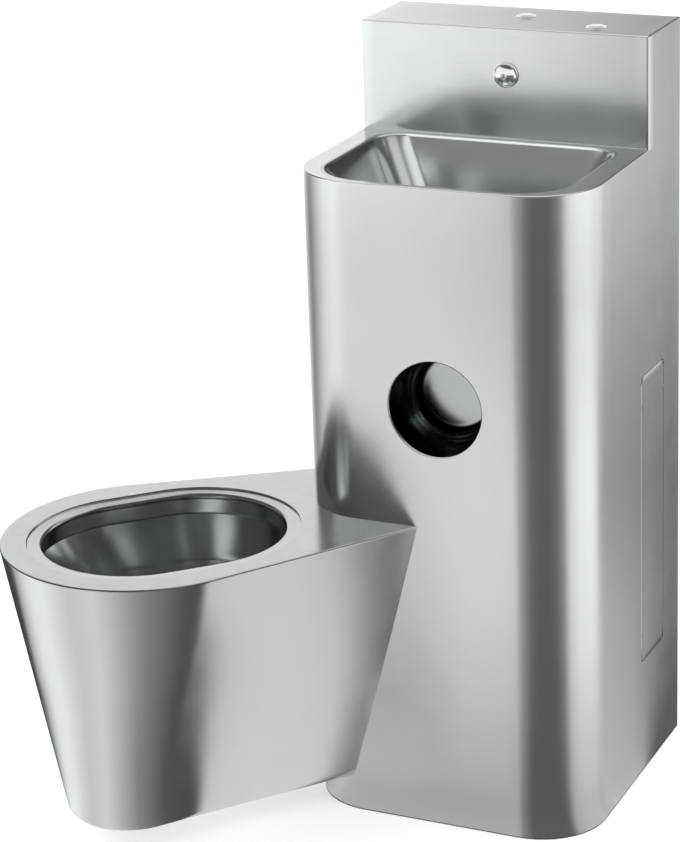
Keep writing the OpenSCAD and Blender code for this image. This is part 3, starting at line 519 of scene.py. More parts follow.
def fold_over(size, s, level):
    """The cabinet's top edge: a quarter round from the skin to the level of the deck and a
    narrow flange behind it."""
    r = size.edge
    turn = np.linspace(0, math.pi / 2, ARC_STEPS + 1)
    depth = np.append(r - r * np.cos(turn), [r + FLANGE / 2, r + FLANGE])
    height = np.append(level - r + r * np.sin(turn), [level, level])
    across = np.stack(np.broadcast_arrays(s[None], height[:, None], depth[:, None]), axis=-1)
    return wrap(size, across)


def cast(loop, centre, aim):
    """Where rays from the centre towards each aim point meet a closed loop of points. The
    loop's chord a to b that spans the ray's angle is cut by the ray: distance =
    cross(a, b - a) / cross(ray, b - a)."""
    loop, aim = loop[:, :2] - centre[:2], aim[:, :2] - centre[:2]
    loop = loop[np.argsort(np.arctan2(loop[:, 1], loop[:, 0]))]
    ray = unit(aim)
    k = np.searchsorted(np.arctan2(loop[:, 1], loop[:, 0]), np.arctan2(ray[:, 1], ray[:, 0]))
    k %= len(loop)
    a = loop[k - 1]
    step = loop[k] - a
    reach = ((a[:, 0] * step[:, 1] - a[:, 1] * step[:, 0])
             / (ray[:, 0] * step[:, 1] - ray[:, 1] * step[:, 0]))
    flat = centre[:2] + ray * reach[:, None]
    return np.column_stack([flat, np.full(len(flat), centre[2])])


class WASHROOM_OT_deck(bpy.types.Operator):
    """Makes the deck plate between the cabinet's folded edge and the basin"""

    bl_idname = "washroom.deck"
    bl_label = "Deck plate"

    def execute(self, context):
        size, basin = context.scene.washroom_cabinet, context.scene.washroom_basin
        end = knots(size)[5]
        us = outline_stations(size)
        s = us[(us > size.splash - MERGE) & (us < end - size.splash + MERGE)]
        rim = fold_over(size, s, size.deck)[-1]
        bend, gap = 0.0008, 0.0004
        x = np.linspace(rim[-1, 0], rim[0, 0], 33)[1:-1]
        seam = np.column_stack([x, 0 * x - size.splash - gap, 0 * x + size.deck])
        roll = fillet(seam, DOWN, FRONT, bend, 4)
        rows = [np.concatenate([rim, row]) for row in roll]
        centre = np.array([0, -(basin.front + basin.back) / 2, size.deck])
        edge, normal, _ = basin_outline(basin, size.deck)
        inner = cast(edge + normal * basin.lip, centre, rows[-1])
        near = rows[-1] + unit(inner - rows[-1]) * bend
        piece("deck", [grid([*rows, *ease(near, inner, 3)], closed=True)], "unit",
              "satin_steel", centre - [0, 0, 1], wall=size.sheet, nodes=["deck_plate"])
        return {"FINISHED"}


def basin_outline(basin, level):
    """Round the basin: the opening's edge, its outward normal and the centre line of the
    bend above the floor. All run through the same eight marks, corner and side in turn;
    edge = corner centre + radius x normal, and the normal turns only round the corners."""
    steps = [BASIN_STEPS, BASIN_SIDE_STEPS] * 4
    u = np.concatenate([k + np.arange(n) / n for k, n in enumerate(steps)])
    half = basin.width / 2
    f, b = basin.front_corner, basin.back_corner
    fx, bx, fy, by = half - f, half - b, f - basin.front, -basin.back - b
    low_x = half - basin.lean - basin.bend - basin.plan_bend
    low_f = -basin.front + basin.lean + basin.bend + basin.plan_bend
    low_b = -basin.back - basin.back_lean - basin.bend - basin.plan_bend
    marks = np.arange(9)
    turn = np.interp(u, marks, np.radians([180, 270, 270, 360, 360, 450, 450, 540, 540]))
    normal = np.column_stack([np.cos(turn), np.sin(turn), 0 * turn])
    x = np.interp(u, marks, [-fx, -fx, fx, fx, bx, bx, -bx, -bx, -fx])
    y = np.interp(u, marks, [fy, fy, fy, fy, by, by, by, by, fy])
    radius = np.interp(u, marks, [f, f, f, f, b, b, b, b, f])
    edge = np.column_stack([x, y, 0 * x + level]) + normal * radius[:, None]
    x = np.interp(u, marks, low_x * np.array([-1, -1, 1, 1, 1, 1, -1, -1, -1]))
    y = np.interp(u, marks, [low_f] * 4 + [low_b] * 4 + [low_f])
    low = np.column_stack([x, y, 0 * x + BASIN_LOW + basin.fall + basin.bend])
    return edge, normal, low + normal * basin.plan_bend


class WASHROOM_OT_basin(bpy.types.Operator):
    """Makes the pressed basin with its rolled rim"""

    bl_idname = "washroom.basin"
    bl_label = "Basin"

    def execute(self, context):
        size, basin = context.scene.washroom_cabinet, context.scene.washroom_basin
        edge, normal, low = basin_outline(basin, size.deck)
        lip, bend = basin.lip, basin.bend
        across = ((edge - low) * normal).sum(-1, keepdims=True)
        drop = (edge - low)[:, 2:]
        lean = np.arccos(bend / np.hypot(across, drop)) - np.arctan2(drop, across)
        phi = lean + np.linspace(0, 1, 11)[:, None, None] * (math.pi / 2 - lean)
        curve = low + bend * (np.cos(phi) * normal - np.sin(phi) * UP)
        roll = fillet(edge, normal, curve[0] - edge, lip, 8)
        wall = ease(roll[-1], curve[0], 8)[1:-1]
        flange = edge + normal * (lip + 0.0005)
        drain = np.array([0, -basin.drain, BASIN_LOW])
        out = unit((curve[-1] - drain) * [1, 1, 0])
        ring, hole = drain + out * basin.flange, drain + out * (basin.tube + 0.0005)
        rows = np.concatenate([[flange], roll, wall, curve, ease(curve[-1], ring, 6)[1:],
                               ease(ring, hole, 2)[1:]])
        piece("basin", [grid(rows, closed=True)], "unit", "inner_steel",
              (0, -basin.drain, -5.0), wall=size.sheet, nodes=["basin_bowl"])
        return {"FINISHED"}


class WASHROOM_OT_splashback(bpy.types.Operator):
    """Makes the front and the top of the splashback box"""

    bl_idname = "washroom.splashback"
    bl_label = "Splashback"

    def execute(self, context):
        size = context.scene.washroom_cabinet
        r = size.edge
        half = size.width / 2 - r - FLANGE
        holes = button_places(size)
        reach = BUTTON_HOLE + 0.006
        blocks = [(x - reach, x + reach, y - reach, y + reach) for x, y in holes]
        xs = spans((-half, half, 24), *[(b[0], b[1], 8) for b in blocks])
        ys = spans((r - size.splash, 0, 6), *[(b[2], b[3], 8) for b in blocks],
                   (2 * r - size.splash, 0, 1))
        parts = [pierced(xs, ys, blocks)]
        for block, hole in zip(blocks, holes):
            edge = border(xs, ys, block)
            loop = round_loop(edge, hole, BUTTON_HOLE, 0.0)
            parts.append(grid(ease(edge, loop, 2), closed=True))
        parts = [(points + [0, 0, size.top], quads) for points, quads in parts]
        edge = np.column_stack([xs, 0 * xs - size.splash, 0 * xs + size.top])
        brow = fillet(edge, BACK, DOWN, r)
        foot = edge * [1, 1, 0] + [0, 0, size.deck - r]
        rows = np.concatenate([brow, ease(brow[-1] + DOWN * r, foot, 8)])
        parts.append(grid(rows))
        piece("splashback", parts, "unit", "satin_steel", (0, 0, size.deck), wall=size.sheet,
              nodes=["splash_cover"])
        return {"FINISHED"}


def button_places(size):
    """Where the basin's and the toilet's buttons stand on the splashback box."""
    return (size.offset, -BUTTON_Y[0]), (BUTTON_X, -BUTTON_Y[1])


class WASHROOM_OT_roll_holder(bpy.types.Operator):
    """Makes the roll holder's cup with its dished back"""

    bl_idname = "washroom.roll_holder"
    bl_label = "Roll holder"

    def execute(self, context):
        size = context.scene.washroom_cabinet
        radius, dish, bend = size.roll_radius, size.roll_dish, size.roll_bend
        centre = size.roll_depth - dish
        tilt = math.asin((radius - bend) / (dish - bend))
        deep = centre + (dish - bend) * math.cos(tilt)
        turn = np.linspace(0, math.pi / 2 - tilt, 13)
        swing = np.linspace(tilt, 0, 14)[1:]
        wall = np.column_stack([[radius] * 8, np.linspace(size.roll_lip, deep, 9)[:-1]])
        corner = np.column_stack([radius - bend + bend * np.cos(turn), deep + bend * np.sin(turn)])
        back = np.column_stack([dish * np.sin(swing), centre + dish * np.cos(swing)])
        place = (size.offset, -size.depth, size.roll_height)
        cup = turned(np.concatenate([wall, corner, back]), place, (0, 1, 0), 96)
        piece("roll_cup", [cup], "unit", "inner_steel", (size.offset, 5.0, size.roll_height),
              wall=size.sheet, nodes=["roll_holder"])
        return {"FINISHED"}


class WASHROOM_OT_hatch(bpy.types.Operator):
    """Makes the hatch and its four countersunk screws"""

    bl_idname = "washroom.hatch"
    bl_label = "Hatch"

    def execute(self, context):
        size = context.scene.washroom_cabinet
        half, r, cut = size.width / 2, HATCH_EDGE, size.hatch_cut
        inset = size.hatch_gap + r
        hole = np.array([[size.hatch_low, size.hatch_low + size.hatch_height],
                         [size.hatch_back, size.hatch_back + size.hatch_width]])
        (low, high), (back, front) = hole + [inset, -inset]
        block = (low, high, back, front)
        ends, sides = hole + np.outer((SCREW_END, SCREW_INSET), (1, -1))
        screws = [(u, v) for u in ends for v in sides]
        side = SCREW_INSET - inset
        wells = [(u - side, u + side, v - side, v + side) for u, v in screws]
        us = spans((low, high, 1), (low + cut, high - cut, 24),
                   *[(w[0], w[1], 6) for w in wells])
        vs = spans((back, front, 1), (back + cut, front - cut, 6),
                   *[(w[2], w[3], 6) for w in wells])
        points, quads = pierced(us, vs, wells)
        aside = points[:, :2] - [(low + high) / 2, (back + front) / 2]
        tip = np.isclose(np.abs(aside), [(high - low) / 2, (front - back) / 2], rtol=0,
                         atol=MERGE).all(axis=1)
        points[tip, :2] -= np.sign(aside[tip]) * cut / 2
        parts = [(points, quads)]
        edge = border(us, vs, block)
        loops = [cut_corners(edge, block, r * math.sin(t), cut, r - r * math.cos(t))
                 for t in np.linspace(0, math.pi / 2, 4)]
        loops.append(loops[-1] * [1, 1, 0] + [0, 0, size.sheet])
        parts.append(grid(loops, closed=True))
        for well, screw in zip(wells, screws):
            ring = border(us, vs, well)
            hole = round_loop(ring, screw, SCREW_HEAD, 0.0)
            seat = round_loop(ring, screw, SCREW_HEAD - size.sheet, size.sheet)
            parts.append(grid(np.concatenate([ease(ring, hole, 1), [seat]]), closed=True))
        parts = [(np.column_stack([half - p[:, 2], -p[:, 1], p[:, 0]]), q) for p, q in parts]
        piece("hatch_plate", parts, "hatch", "satin_steel",
              (0, -size.hatch_back, size.hatch_low), nodes=["access_hatch"])
        heads = [screw_head((half - 0.0001, -v, u)) for u, v in screws]
        piece("hatch_screw_heads", heads, "hatch", "spring_wire",
              (0, -size.hatch_back, size.hatch_low), nodes=["hatch_screws"])
        return {"FINISHED"}


HATCH_EDGE = 0.0004
SCREW_END = 0.040
SCREW_INSET = 0.005
SCREW_HEAD = 0.0034


def screw_head(place):
    """A countersunk screw: a flat head with a six-sided socket, whose radius is the socket's
    half width over the cosine of the angle from the middle of the nearest side, a cone below
    it and a shank."""
    count = 36
    angle = np.arange(count) * math.tau / count
    round_ring = np.ones(count)
    six = 1 / np.cos((angle % (math.pi / 3)) - math.pi / 6)
    rows = [(0.0, -0.0016, round_ring), (0.0011, -0.0016, six), (0.0011, -0.0001, six),
            (0.0013, 0.0, six), (SCREW_HEAD - 0.0004, 0.0, round_ring),
            (SCREW_HEAD - 0.0002, -0.0001, round_ring), (0.0019, -0.0015, round_ring),
            (0.0019, -0.0079, round_ring), (0.0, -0.0079, round_ring)]
    rows = [np.column_stack([np.full(count, out), radius * shape * np.cos(angle),
                             radius * shape * np.sin(angle)]) for radius, out, shape in rows]
    return grid(np.array(rows) + place, closed=True)


class WASHROOM_OT_spout(bpy.types.Operator):
    """Makes the domed spout with its outlet hole"""

    bl_idname = "washroom.spout"
    bl_label = "Spout"

    def execute(self, context):
        size = context.scene.washroom_cabinet
        low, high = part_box("spout")
        base = (high.x - low.x) / 2
        reach = -size.splash - low.y
        shank, bore, back = 0.010, 0.0035, low.y - high.y + reach
        swing = np.linspace(0.06, math.acos((bore + 0.0006) / (base - 0.0012)), 16)
        dome = np.column_stack([(base - 0.0012) * np.cos(swing),
                                0.0022 + (reach - 0.0022) * np.sin(swing)])
        foot = rounded([(shank, 0, 0), (base, 0, 0), (base, 0.0021, 0.0007),
                        (base - 0.0012, 0.0023, 0)], 4)
        mouth = rounded([dome[-1].tolist() + [0], (bore, reach - 0.0001, 0.0004),
                         (bore, reach - 0.004, 0)], 4)
        tail = np.array([(bore, back), (shank, back), (shank, 0)])
        profile = np.concatenate([foot, dome, mouth[1:], tail])
        place = ((low.x + high.x) / 2, -size.splash, (low.z + high.z) / 2)
        piece("spout_dome", [turned(profile, place, (0, -1, 0))], "unit", "chrome_trim",
              (place[0], place[1] + 0.002, place[2]), nodes=["spout"])
        return {"FINISHED"}


class WASHROOM_OT_buttons(bpy.types.Operator):
    """Makes the two push buttons, their collars and their coil springs"""

    bl_idname = "washroom.buttons"
    bl_label = "Push buttons"

    def execute(self, context):
        size = context.scene.washroom_cabinet
        up = (0, 0, 1)
        for kind, (x, y) in zip(("basin", "flush"), button_places(size)):
            name, body = kind + "_button", kind + "_push"
            low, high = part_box(name)
            cap = (high.x - low.x) / 2
            stem, foot, side = 0.003, low.z - high.z, -0.0095
            profile = np.concatenate([
                [(0, 0), (cap * 0.3, -0.00006), (cap * 0.6, -0.00025)],
                rounded([(cap * 0.8, -0.0005, 0), (cap, -0.0008, 0.001), (cap, side, 0.0004),
                         (stem, side, 0.0004), (stem, foot, 0.0005), (0, foot, 0)])])
            piece(name + "_cap", [turned(profile, (x, y, high.z), up)], body, "chrome_trim",
                  (x, y, high.z - 0.003), nodes=[name])
            low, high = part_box(name + "_collar")
            rim = (high.x - low.x) / 2
            bore, outer, web, hole = cap + 0.0003, cap + 0.0018, 0.003, 0.004
            flange, floor = size.top - high.z, low.z - high.z
            profile = rounded([(outer, flange, 0), (rim, flange, 0.0002), (rim, 0, 0.0009),
                               (bore, 0, 0.0004), (bore, floor + web, 0.0003),
                               (hole, floor + web, 0), (hole, floor, 0), (outer, floor, 0.0004),
                               (outer, flange, 0)])
            piece(name + "_ring", [turned(profile, (x, y, high.z), up)], "unit", "chrome_trim",
                  (x, y, high.z - 5.0), nodes=[name + "_collar"])
            low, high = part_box(name + "_spring")
            spring = coil(x, y, low.z, high.z, (high.x - low.x) / 2)
            obj = piece(name + "_coil", [spring], "unit", "spring_wire", (x, y, low.z),
                        nodes=[name + "_spring"])
            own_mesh(obj)
        return {"FINISHED"}


def coil(x, y, low, high, radius, wire=0.0009, turns=7):
    """A round wire carried along a screw line whose pitch closes up at both ends: height =
    share of the way, eased, and the wire's circle stands square to the line's direction."""
    t = np.linspace(0, 1, turns * 20 + 1)
    angle = t * turns * math.tau
    rise = t - np.sin(math.tau * t) / math.tau * 0.7
    mean = radius - wire
    z = low + wire + rise * (high - low - 2 * wire)
    line = np.column_stack([x + mean * np.cos(angle), y + mean * np.sin(angle), z])
    ahead = unit(np.gradient(line, axis=0))
    out = np.column_stack([np.cos(angle), np.sin(angle), 0 * angle])
    side = np.cross(ahead, out)
    ring = np.arange(9)[:, None, None] * math.tau / 8
    rows = line + wire * (np.cos(ring) * out + np.sin(ring) * side)
    rows = np.swapaxes(rows[:-1], 0, 1)
    cap = np.repeat(line[[0, -1]][:, None], 8, axis=1)
    return grid(np.concatenate([cap[:1], rows, cap[1:]]), closed=True)


class WASHROOM_OT_drain(bpy.types.Operator):
    """Makes the basin's flanged waste"""

    bl_idname = "washroom.drain"
    bl_label = "Basin waste"

    def execute(self, context):
        basin = context.scene.washroom_basin
        low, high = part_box("basin_waste")
        tube, wall, seat = basin.tube, 0.0015, 0.0015
        flange = (high.x - low.x) / 2
        drop = low.z - high.z
        thick = BASIN_LOW - high.z
        profile = rounded([(tube, thick, 0), (flange, thick, 0.0002), (flange, -0.001, 0.0008),
                           (flange - 0.003, 0, 0.001), (tube + 0.002, 0, 0.0003),
                           (tube + 0.002, -seat, 0), (tube - wall, -seat, 0.0002),
                           (tube - wall, drop, 0), (tube, drop, 0), (tube, thick, 0)])
        piece("drain_flange", [turned(profile, (0, -basin.drain, high.z), (0, 0, 1))], "unit",
              "chrome_trim", (0, -basin.drain, high.z - 5.0), nodes=["basin_waste"])
        return {"FINISHED"}


# ---- Pan ----

NOSE_STEPS = 96
SIDE_STEPS = 18
SKIN_SINK = 0.0008


def on_pan_axis(cabinet, points):
    """From the pan's own axes (out, across, up) to the unit's: turned 225 degrees round the
    centre of the cabinet's left front corner."""
    out, across, up = np.moveaxis(np.asarray(points, float), -1, 0)
    root = math.sqrt(0.5)
    x = cabinet.corner - cabinet.width / 2 - root * (out - across)
    y = cabinet.corner - cabinet.depth - root * (out + across)
    return np.stack([x, y, up], axis=-1)


def skirt_rows(cabinet, pan, share_up):
    """Level cuts of the pan's skirt. Between the underside's outline and the rim's, each
    point runs straight up: point = (1 - share) x low + share x high. A side starts where its
    line meets the cabinet: its flat face if that lies past the corner's arc, or the arc."""
    h = np.asarray(share_up, float)[:, None, None]
    q = np.linspace(-1, 1, NOSE_STEPS + 1)
    ends, arcs = [], []
    for reach, radius, taper in ((pan.foot_reach, pan.foot, pan.foot_taper),
                                 (pan.nose_reach, pan.nose, pan.nose_taper)):
        turn = q * (math.pi / 2 + taper)
        arcs.append(np.column_stack([reach + radius * np.cos(turn), radius * np.sin(turn)]))
        sine, cosine = math.sin(taper), math.cos(taper)
        ends.append(np.array([[0, (radius - reach * sine) / cosine],
                              [reach - radius * sine, radius * cosine]]))
    arc = (1 - h) * arcs[0] + h * arcs[1]
    end = (1 - h) * ends[0] + h * ends[1]
    root, step = end[:, :1], end[:, 1:] - end[:, :1]
    reach = cabinet.corner - SKIN_SINK
    flat = (reach * math.sqrt(2) - root.sum(-1)) / step.sum(-1)
    hit = root + flat[..., None] * step
    a, b = (step ** 2).sum(-1), (root * step).sum(-1)
    c = (root ** 2).sum(-1) - reach ** 2
    bow = (np.sqrt(np.maximum(b ** 2 - a * c, 0)) - b) / a
    start = np.where(hit[..., 1] > hit[..., 0], flat, bow)[..., None]
    side = root + (start + (1 - start) * np.linspace(0, 1, SIDE_STEPS + 1)[:, None]) * step
    rows = np.concatenate([side[:, :-1] * [1, -1], arc, side[:, -2::-1]], axis=1)
    level = pan.under + h * (pan.rim - pan.under)
    return np.concatenate([rows, np.broadcast_to(level, (*rows.shape[:2], 1))], axis=-1)


def inward_of(row):
    """The level direction to the left of a row of points, which runs round anticlockwise. At
    the row's two ends it lies along the cabinet's skin, flat face or corner."""
    ahead = unit(np.gradient(row, axis=0))
    inward = np.column_stack([-ahead[:, 1], ahead[:, 0], 0 * ahead[:, 0]])
    for end, side in ((0, -1), (-1, 1)):
        out, across = row[end, 0], side * row[end, 1]
        along = (1.0, -1.0) if across > out else (across, -out)
        inward[end] = unit(np.array([along[0], side * along[1], 0.0]))
    return inward


def skirt_brim(cabinet, pan):
    """The skirt's top edge: the rows of its round and of a narrow flange behind it."""
    edge, below = skirt_rows(cabinet, pan, [1.0, 0.98])
    inward = inward_of(edge)
    bend = fillet(edge, below - edge, inward, pan.rim_bend)
    return np.concatenate([bend, [bend[-1] + inward * FLANGE / 2, bend[-1] + inward * FLANGE]])


class WASHROOM_OT_pan_skirt(bpy.types.Operator):
    """Makes the pan's outer wall and its closed underside"""

    bl_idname = "washroom.pan_skirt"
    bl_label = "Pan skirt"

    def execute(self, context):
        cabinet, pan = context.scene.washroom_cabinet, context.scene.washroom_pan
        foot, above = skirt_rows(cabinet, pan, [0.0, 0.02])
        inward = inward_of(foot)
        count = len(foot)
        away = np.abs(np.arange(count) - count // 2) - NOSE_STEPS // 2
        toward = np.clip(away / SIDE_STEPS, 0, 1)[:, None]
        bend_radius = pan.foot_bend + toward * (pan.foot_end_bend - pan.foot_bend)
        bend = fillet(foot, inward, above - foot, bend_radius, 10)
        brim = skirt_brim(cabinet, pan)
        height = pan.rim - pan.under
        start = (bend[-1, :, 2].max() - pan.under) / height + 0.01
        stop = (brim[0, :, 2].min() - pan.under) / height - 0.004
        wall = skirt_rows(cabinet, pan, np.linspace(start, stop, 20))
        rows = np.concatenate([bend, wall, brim])
        half = len(foot) // 2
        across = np.linspace(0, 1, 13)[:, None, None]
        base = (1 - across) * bend[0, :half + 1] + across * bend[0, :half - 1:-1]
        fade = (1 - np.arange(half + 1) / half) ** 4
        bulge = (cabinet.corner - SKIN_SINK - base[0, 0, 0]) * fade
        base[..., 0] += bulge * (1 - (2 * across[..., 0] - 1) ** 2)
        parts = [grid(on_pan_axis(cabinet, rows)), grid(on_pan_axis(cabinet, base))]
        middle = on_pan_axis(cabinet, [pan.centre, 0, (pan.rim + pan.under) / 2])
        piece("pan_wall", parts, "unit", "satin_steel", middle, wall=pan.sheet,
              nodes=["pan_skirt"])
        return {"FINISHED"}


def stadium(turn, half, radius):
    """Distance from the middle of a long round to its edge in each direction: radius over the
    sine on its straight sides, and the far root of the circle at either end."""
    turn, half, radius = np.broadcast_arrays(turn, half, radius)
    sine, cosine = np.abs(np.sin(turn)), np.abs(np.cos(turn))
    straight = radius / np.maximum(sine, 1e-9)
    under = np.maximum(radius ** 2 - (half * sine) ** 2, 0)
    return np.where(straight * cosine <= half, straight, half * cosine + np.sqrt(under))


def long_rows(turn, centre, half, radius, level):
    """Rows of points on long rounds, one for each centre, half length, radius and level."""
    centre, half, radius, level = (np.asarray(v, float)[:, None]
                                   for v in (centre, half, radius, level))
    reach = stadium(turn, half, radius)
    out = centre + reach * np.cos(turn)
    return np.stack([out, reach * np.sin(turn), level + 0 * out], axis=-1)


class WASHROOM_OT_pan_top(bpy.types.Operator):
    """Makes the rim plate, the seat ring one step down and the bead round the mouth"""

    bl_idname = "washroom.pan_top"
    bl_label = "Pan top"

    def execute(self, context):
        cabinet, pan = context.scene.washroom_cabinet, context.scene.washroom_pan
        brim = skirt_brim(cabinet, pan)[-1]
        reach = cabinet.corner - SKIN_SINK
        root = math.sqrt(0.5)
        slide = (brim[-1, 1] - brim[-1, 0]) * root
        flat = np.linspace(slide, 0, 9)[:-1]
        flat = root * np.column_stack([reach - flat, reach + flat])
        turn = np.linspace(math.pi / 4, -math.pi / 4, 17)
        arc = reach * np.column_stack([np.cos(turn), np.sin(turn)])
        close = np.concatenate([flat, arc, flat[::-1] * [1, -1]])
        outer = np.concatenate([brim, np.column_stack([close, np.full(len(close), pan.rim)])])
        turn = np.arctan2(outer[:, 1], outer[:, 0] - pan.centre)
        seat, mouth, roll = pan.seat, pan.mouth, pan.mouth_roll
        step, inner = pan.rim - pan.seat_drop, pan.rim - pan.seat_drop - 0.0008
        profile = rounded([(seat + 0.006, pan.rim, 0), (seat, pan.rim, 0.0005),
                           (seat - 0.0006, step, 0.0005), (seat - 0.003, step, 0),
                           (mouth + roll + 0.003, inner, 0), (mouth, inner, roll),
                           (mouth, inner - 2 * roll, roll * 0.99),
                           (mouth + roll + 0.003, inner - 2 * roll, 0)], 8)
        radius, level = profile[:, 0], profile[:, 1]
        half = np.interp(radius, [mouth + roll + 0.002, seat - 0.002],
                         [pan.mouth_half, pan.seat_half])
        rows = long_rows(turn, np.full(len(radius), pan.centre), half, radius, level)
        rows = np.concatenate([ease(outer, rows[0], 3)[:-1], rows])
        piece("pan_rim", [grid(on_pan_axis(cabinet, rows), closed=True)], "unit", "satin_steel",
              on_pan_axis(cabinet, [pan.centre, 0, -5.0]), nodes=["pan_top"])
        return {"FINISHED"}


class WASHROOM_OT_flush_channel(bpy.types.Operator):
    """Makes the flushing channel under the bead, with its row of jets"""

    bl_idname = "washroom.flush_channel"
    bl_label = "Flushing channel"

    def execute(self, context):
        cabinet, pan = context.scene.washroom_cabinet, context.scene.washroom_pan
        inner, outer = pan.mouth + CHANNEL_SETBACK, CHANNEL_OUT
        high = pan.rim - pan.seat_drop - 2 * pan.mouth_roll + 0.0006
        low = pan.rim - pan.channel
        turn = np.arange(144) * math.tau / 144
        profile = rounded([(outer, high, 0), (inner, high, 0.0006), (inner, low, 0.004),
                           (outer, low, 0.003), (outer, high, 0)], 8)
        count = len(profile)
        rows = long_rows(turn, np.full(count, pan.centre), np.full(count, pan.mouth_half),
                         profile[:, 0], profile[:, 1])
        parts = [grid(on_pan_axis(cabinet, rows), closed=True)]
        spread = np.radians(np.linspace(-80, 80, JETS))
        reach = (inner + outer) / 2
        nozzle = rounded([(JET + 0.0016, 0.0005, 0), (JET + 0.0012, -0.0025, 0.0005),
                          (JET, -0.0025, 0.0004), (JET, 0.0, 0), (0.0, 0.0, 0)], 3)
        for side in (1, -1):
            out = pan.centre + side * (pan.mouth_half + reach * np.cos(spread))
            for place in on_pan_axis(cabinet, np.column_stack([out, reach * np.sin(spread),
                                                               np.full(JETS, low)])):
                parts.append(turned(nozzle, place, (0, 0, 1), 20))
        piece("flush_channel", parts, "unit", "satin_steel",
              on_pan_axis(cabinet, [pan.centre, 0, -5.0]), nodes=["flushing_rim"])
        return {"FINISHED"}


CHANNEL_SETBACK = 0.0048
CHANNEL_OUT = 0.1500
JETS = 9
JET = 0.0025


def flow(controls, steps):
    """A smooth curve that starts at the first control point, ends at the last and touches the
    middle of each stretch between: a chain of parabolas from middle to middle."""
    p = np.asarray(controls, float)
    middles = np.concatenate([p[:1], (p[1:-2] + p[2:-1]) / 2, p[-1:]])
    t = np.linspace(0, 1, steps + 1)[:-1, None, None]
    runs = (1 - t) ** 2 * middles[:-1] + 2 * t * (1 - t) * p[1:-1] + t ** 2 * middles[1:]
    runs = np.swapaxes(runs, 0, 1).reshape(-1, p.shape[1])
    return np.concatenate([runs, p[-1:]])


class WASHROOM_OT_pan_bowl(bpy.types.Operator):
    """Makes the pan's bowl down to its trap"""

    bl_idname = "washroom.pan_bowl"
    bl_label = "Pan bowl"

    def execute(self, context):
        cabinet, pan = context.scene.washroom_cabinet, context.scene.washroom_pan
        high = pan.rim - pan.channel - 0.0006
        head = (pan.centre, pan.mouth_half, BOWL_HEAD)
        walls = [(*(h + t * (w - h) for h, w in zip(head, BOWL_WAIST)), high - t * BOWL_WALL)
                 for t in (0.0, 0.6, 1.0)]
        floor = [(centre, 0, radius, BOWL_LOW + rise) for centre, radius, rise in BOWL_FLOOR]
        curve = flow([*walls, *floor], 9)
        turn = np.arange(112) * math.tau / 112
        rows = long_rows(turn, curve[:, 0], curve[:, 1], curve[:, 2], curve[:, 3])
        piece("pan_bowl_shell", [grid(on_pan_axis(cabinet, rows), closed=True)], "unit",
              "inner_steel", on_pan_axis(cabinet, [pan.centre, 0, -5.0]), wall=pan.sheet,
              nodes=["pan_bowl"])
        return {"FINISHED"}


# The bowl's radius at the channel, the long round at its shoulder (centre, half length,
# radius), the walls' drop to there, and the rounds below (centre, radius, height)
BOWL_HEAD = 0.1476
BOWL_WAIST = (0.277, 0.022, 0.130)
BOWL_WALL = 0.078
BOWL_FLOOR = ((0.266, 0.086, 0.060), (0.262, 0.058, 0.012), (0.262, 0.050, 0.002),
              (0.262, 0.042, 0.002))


# ---- Finishes ----

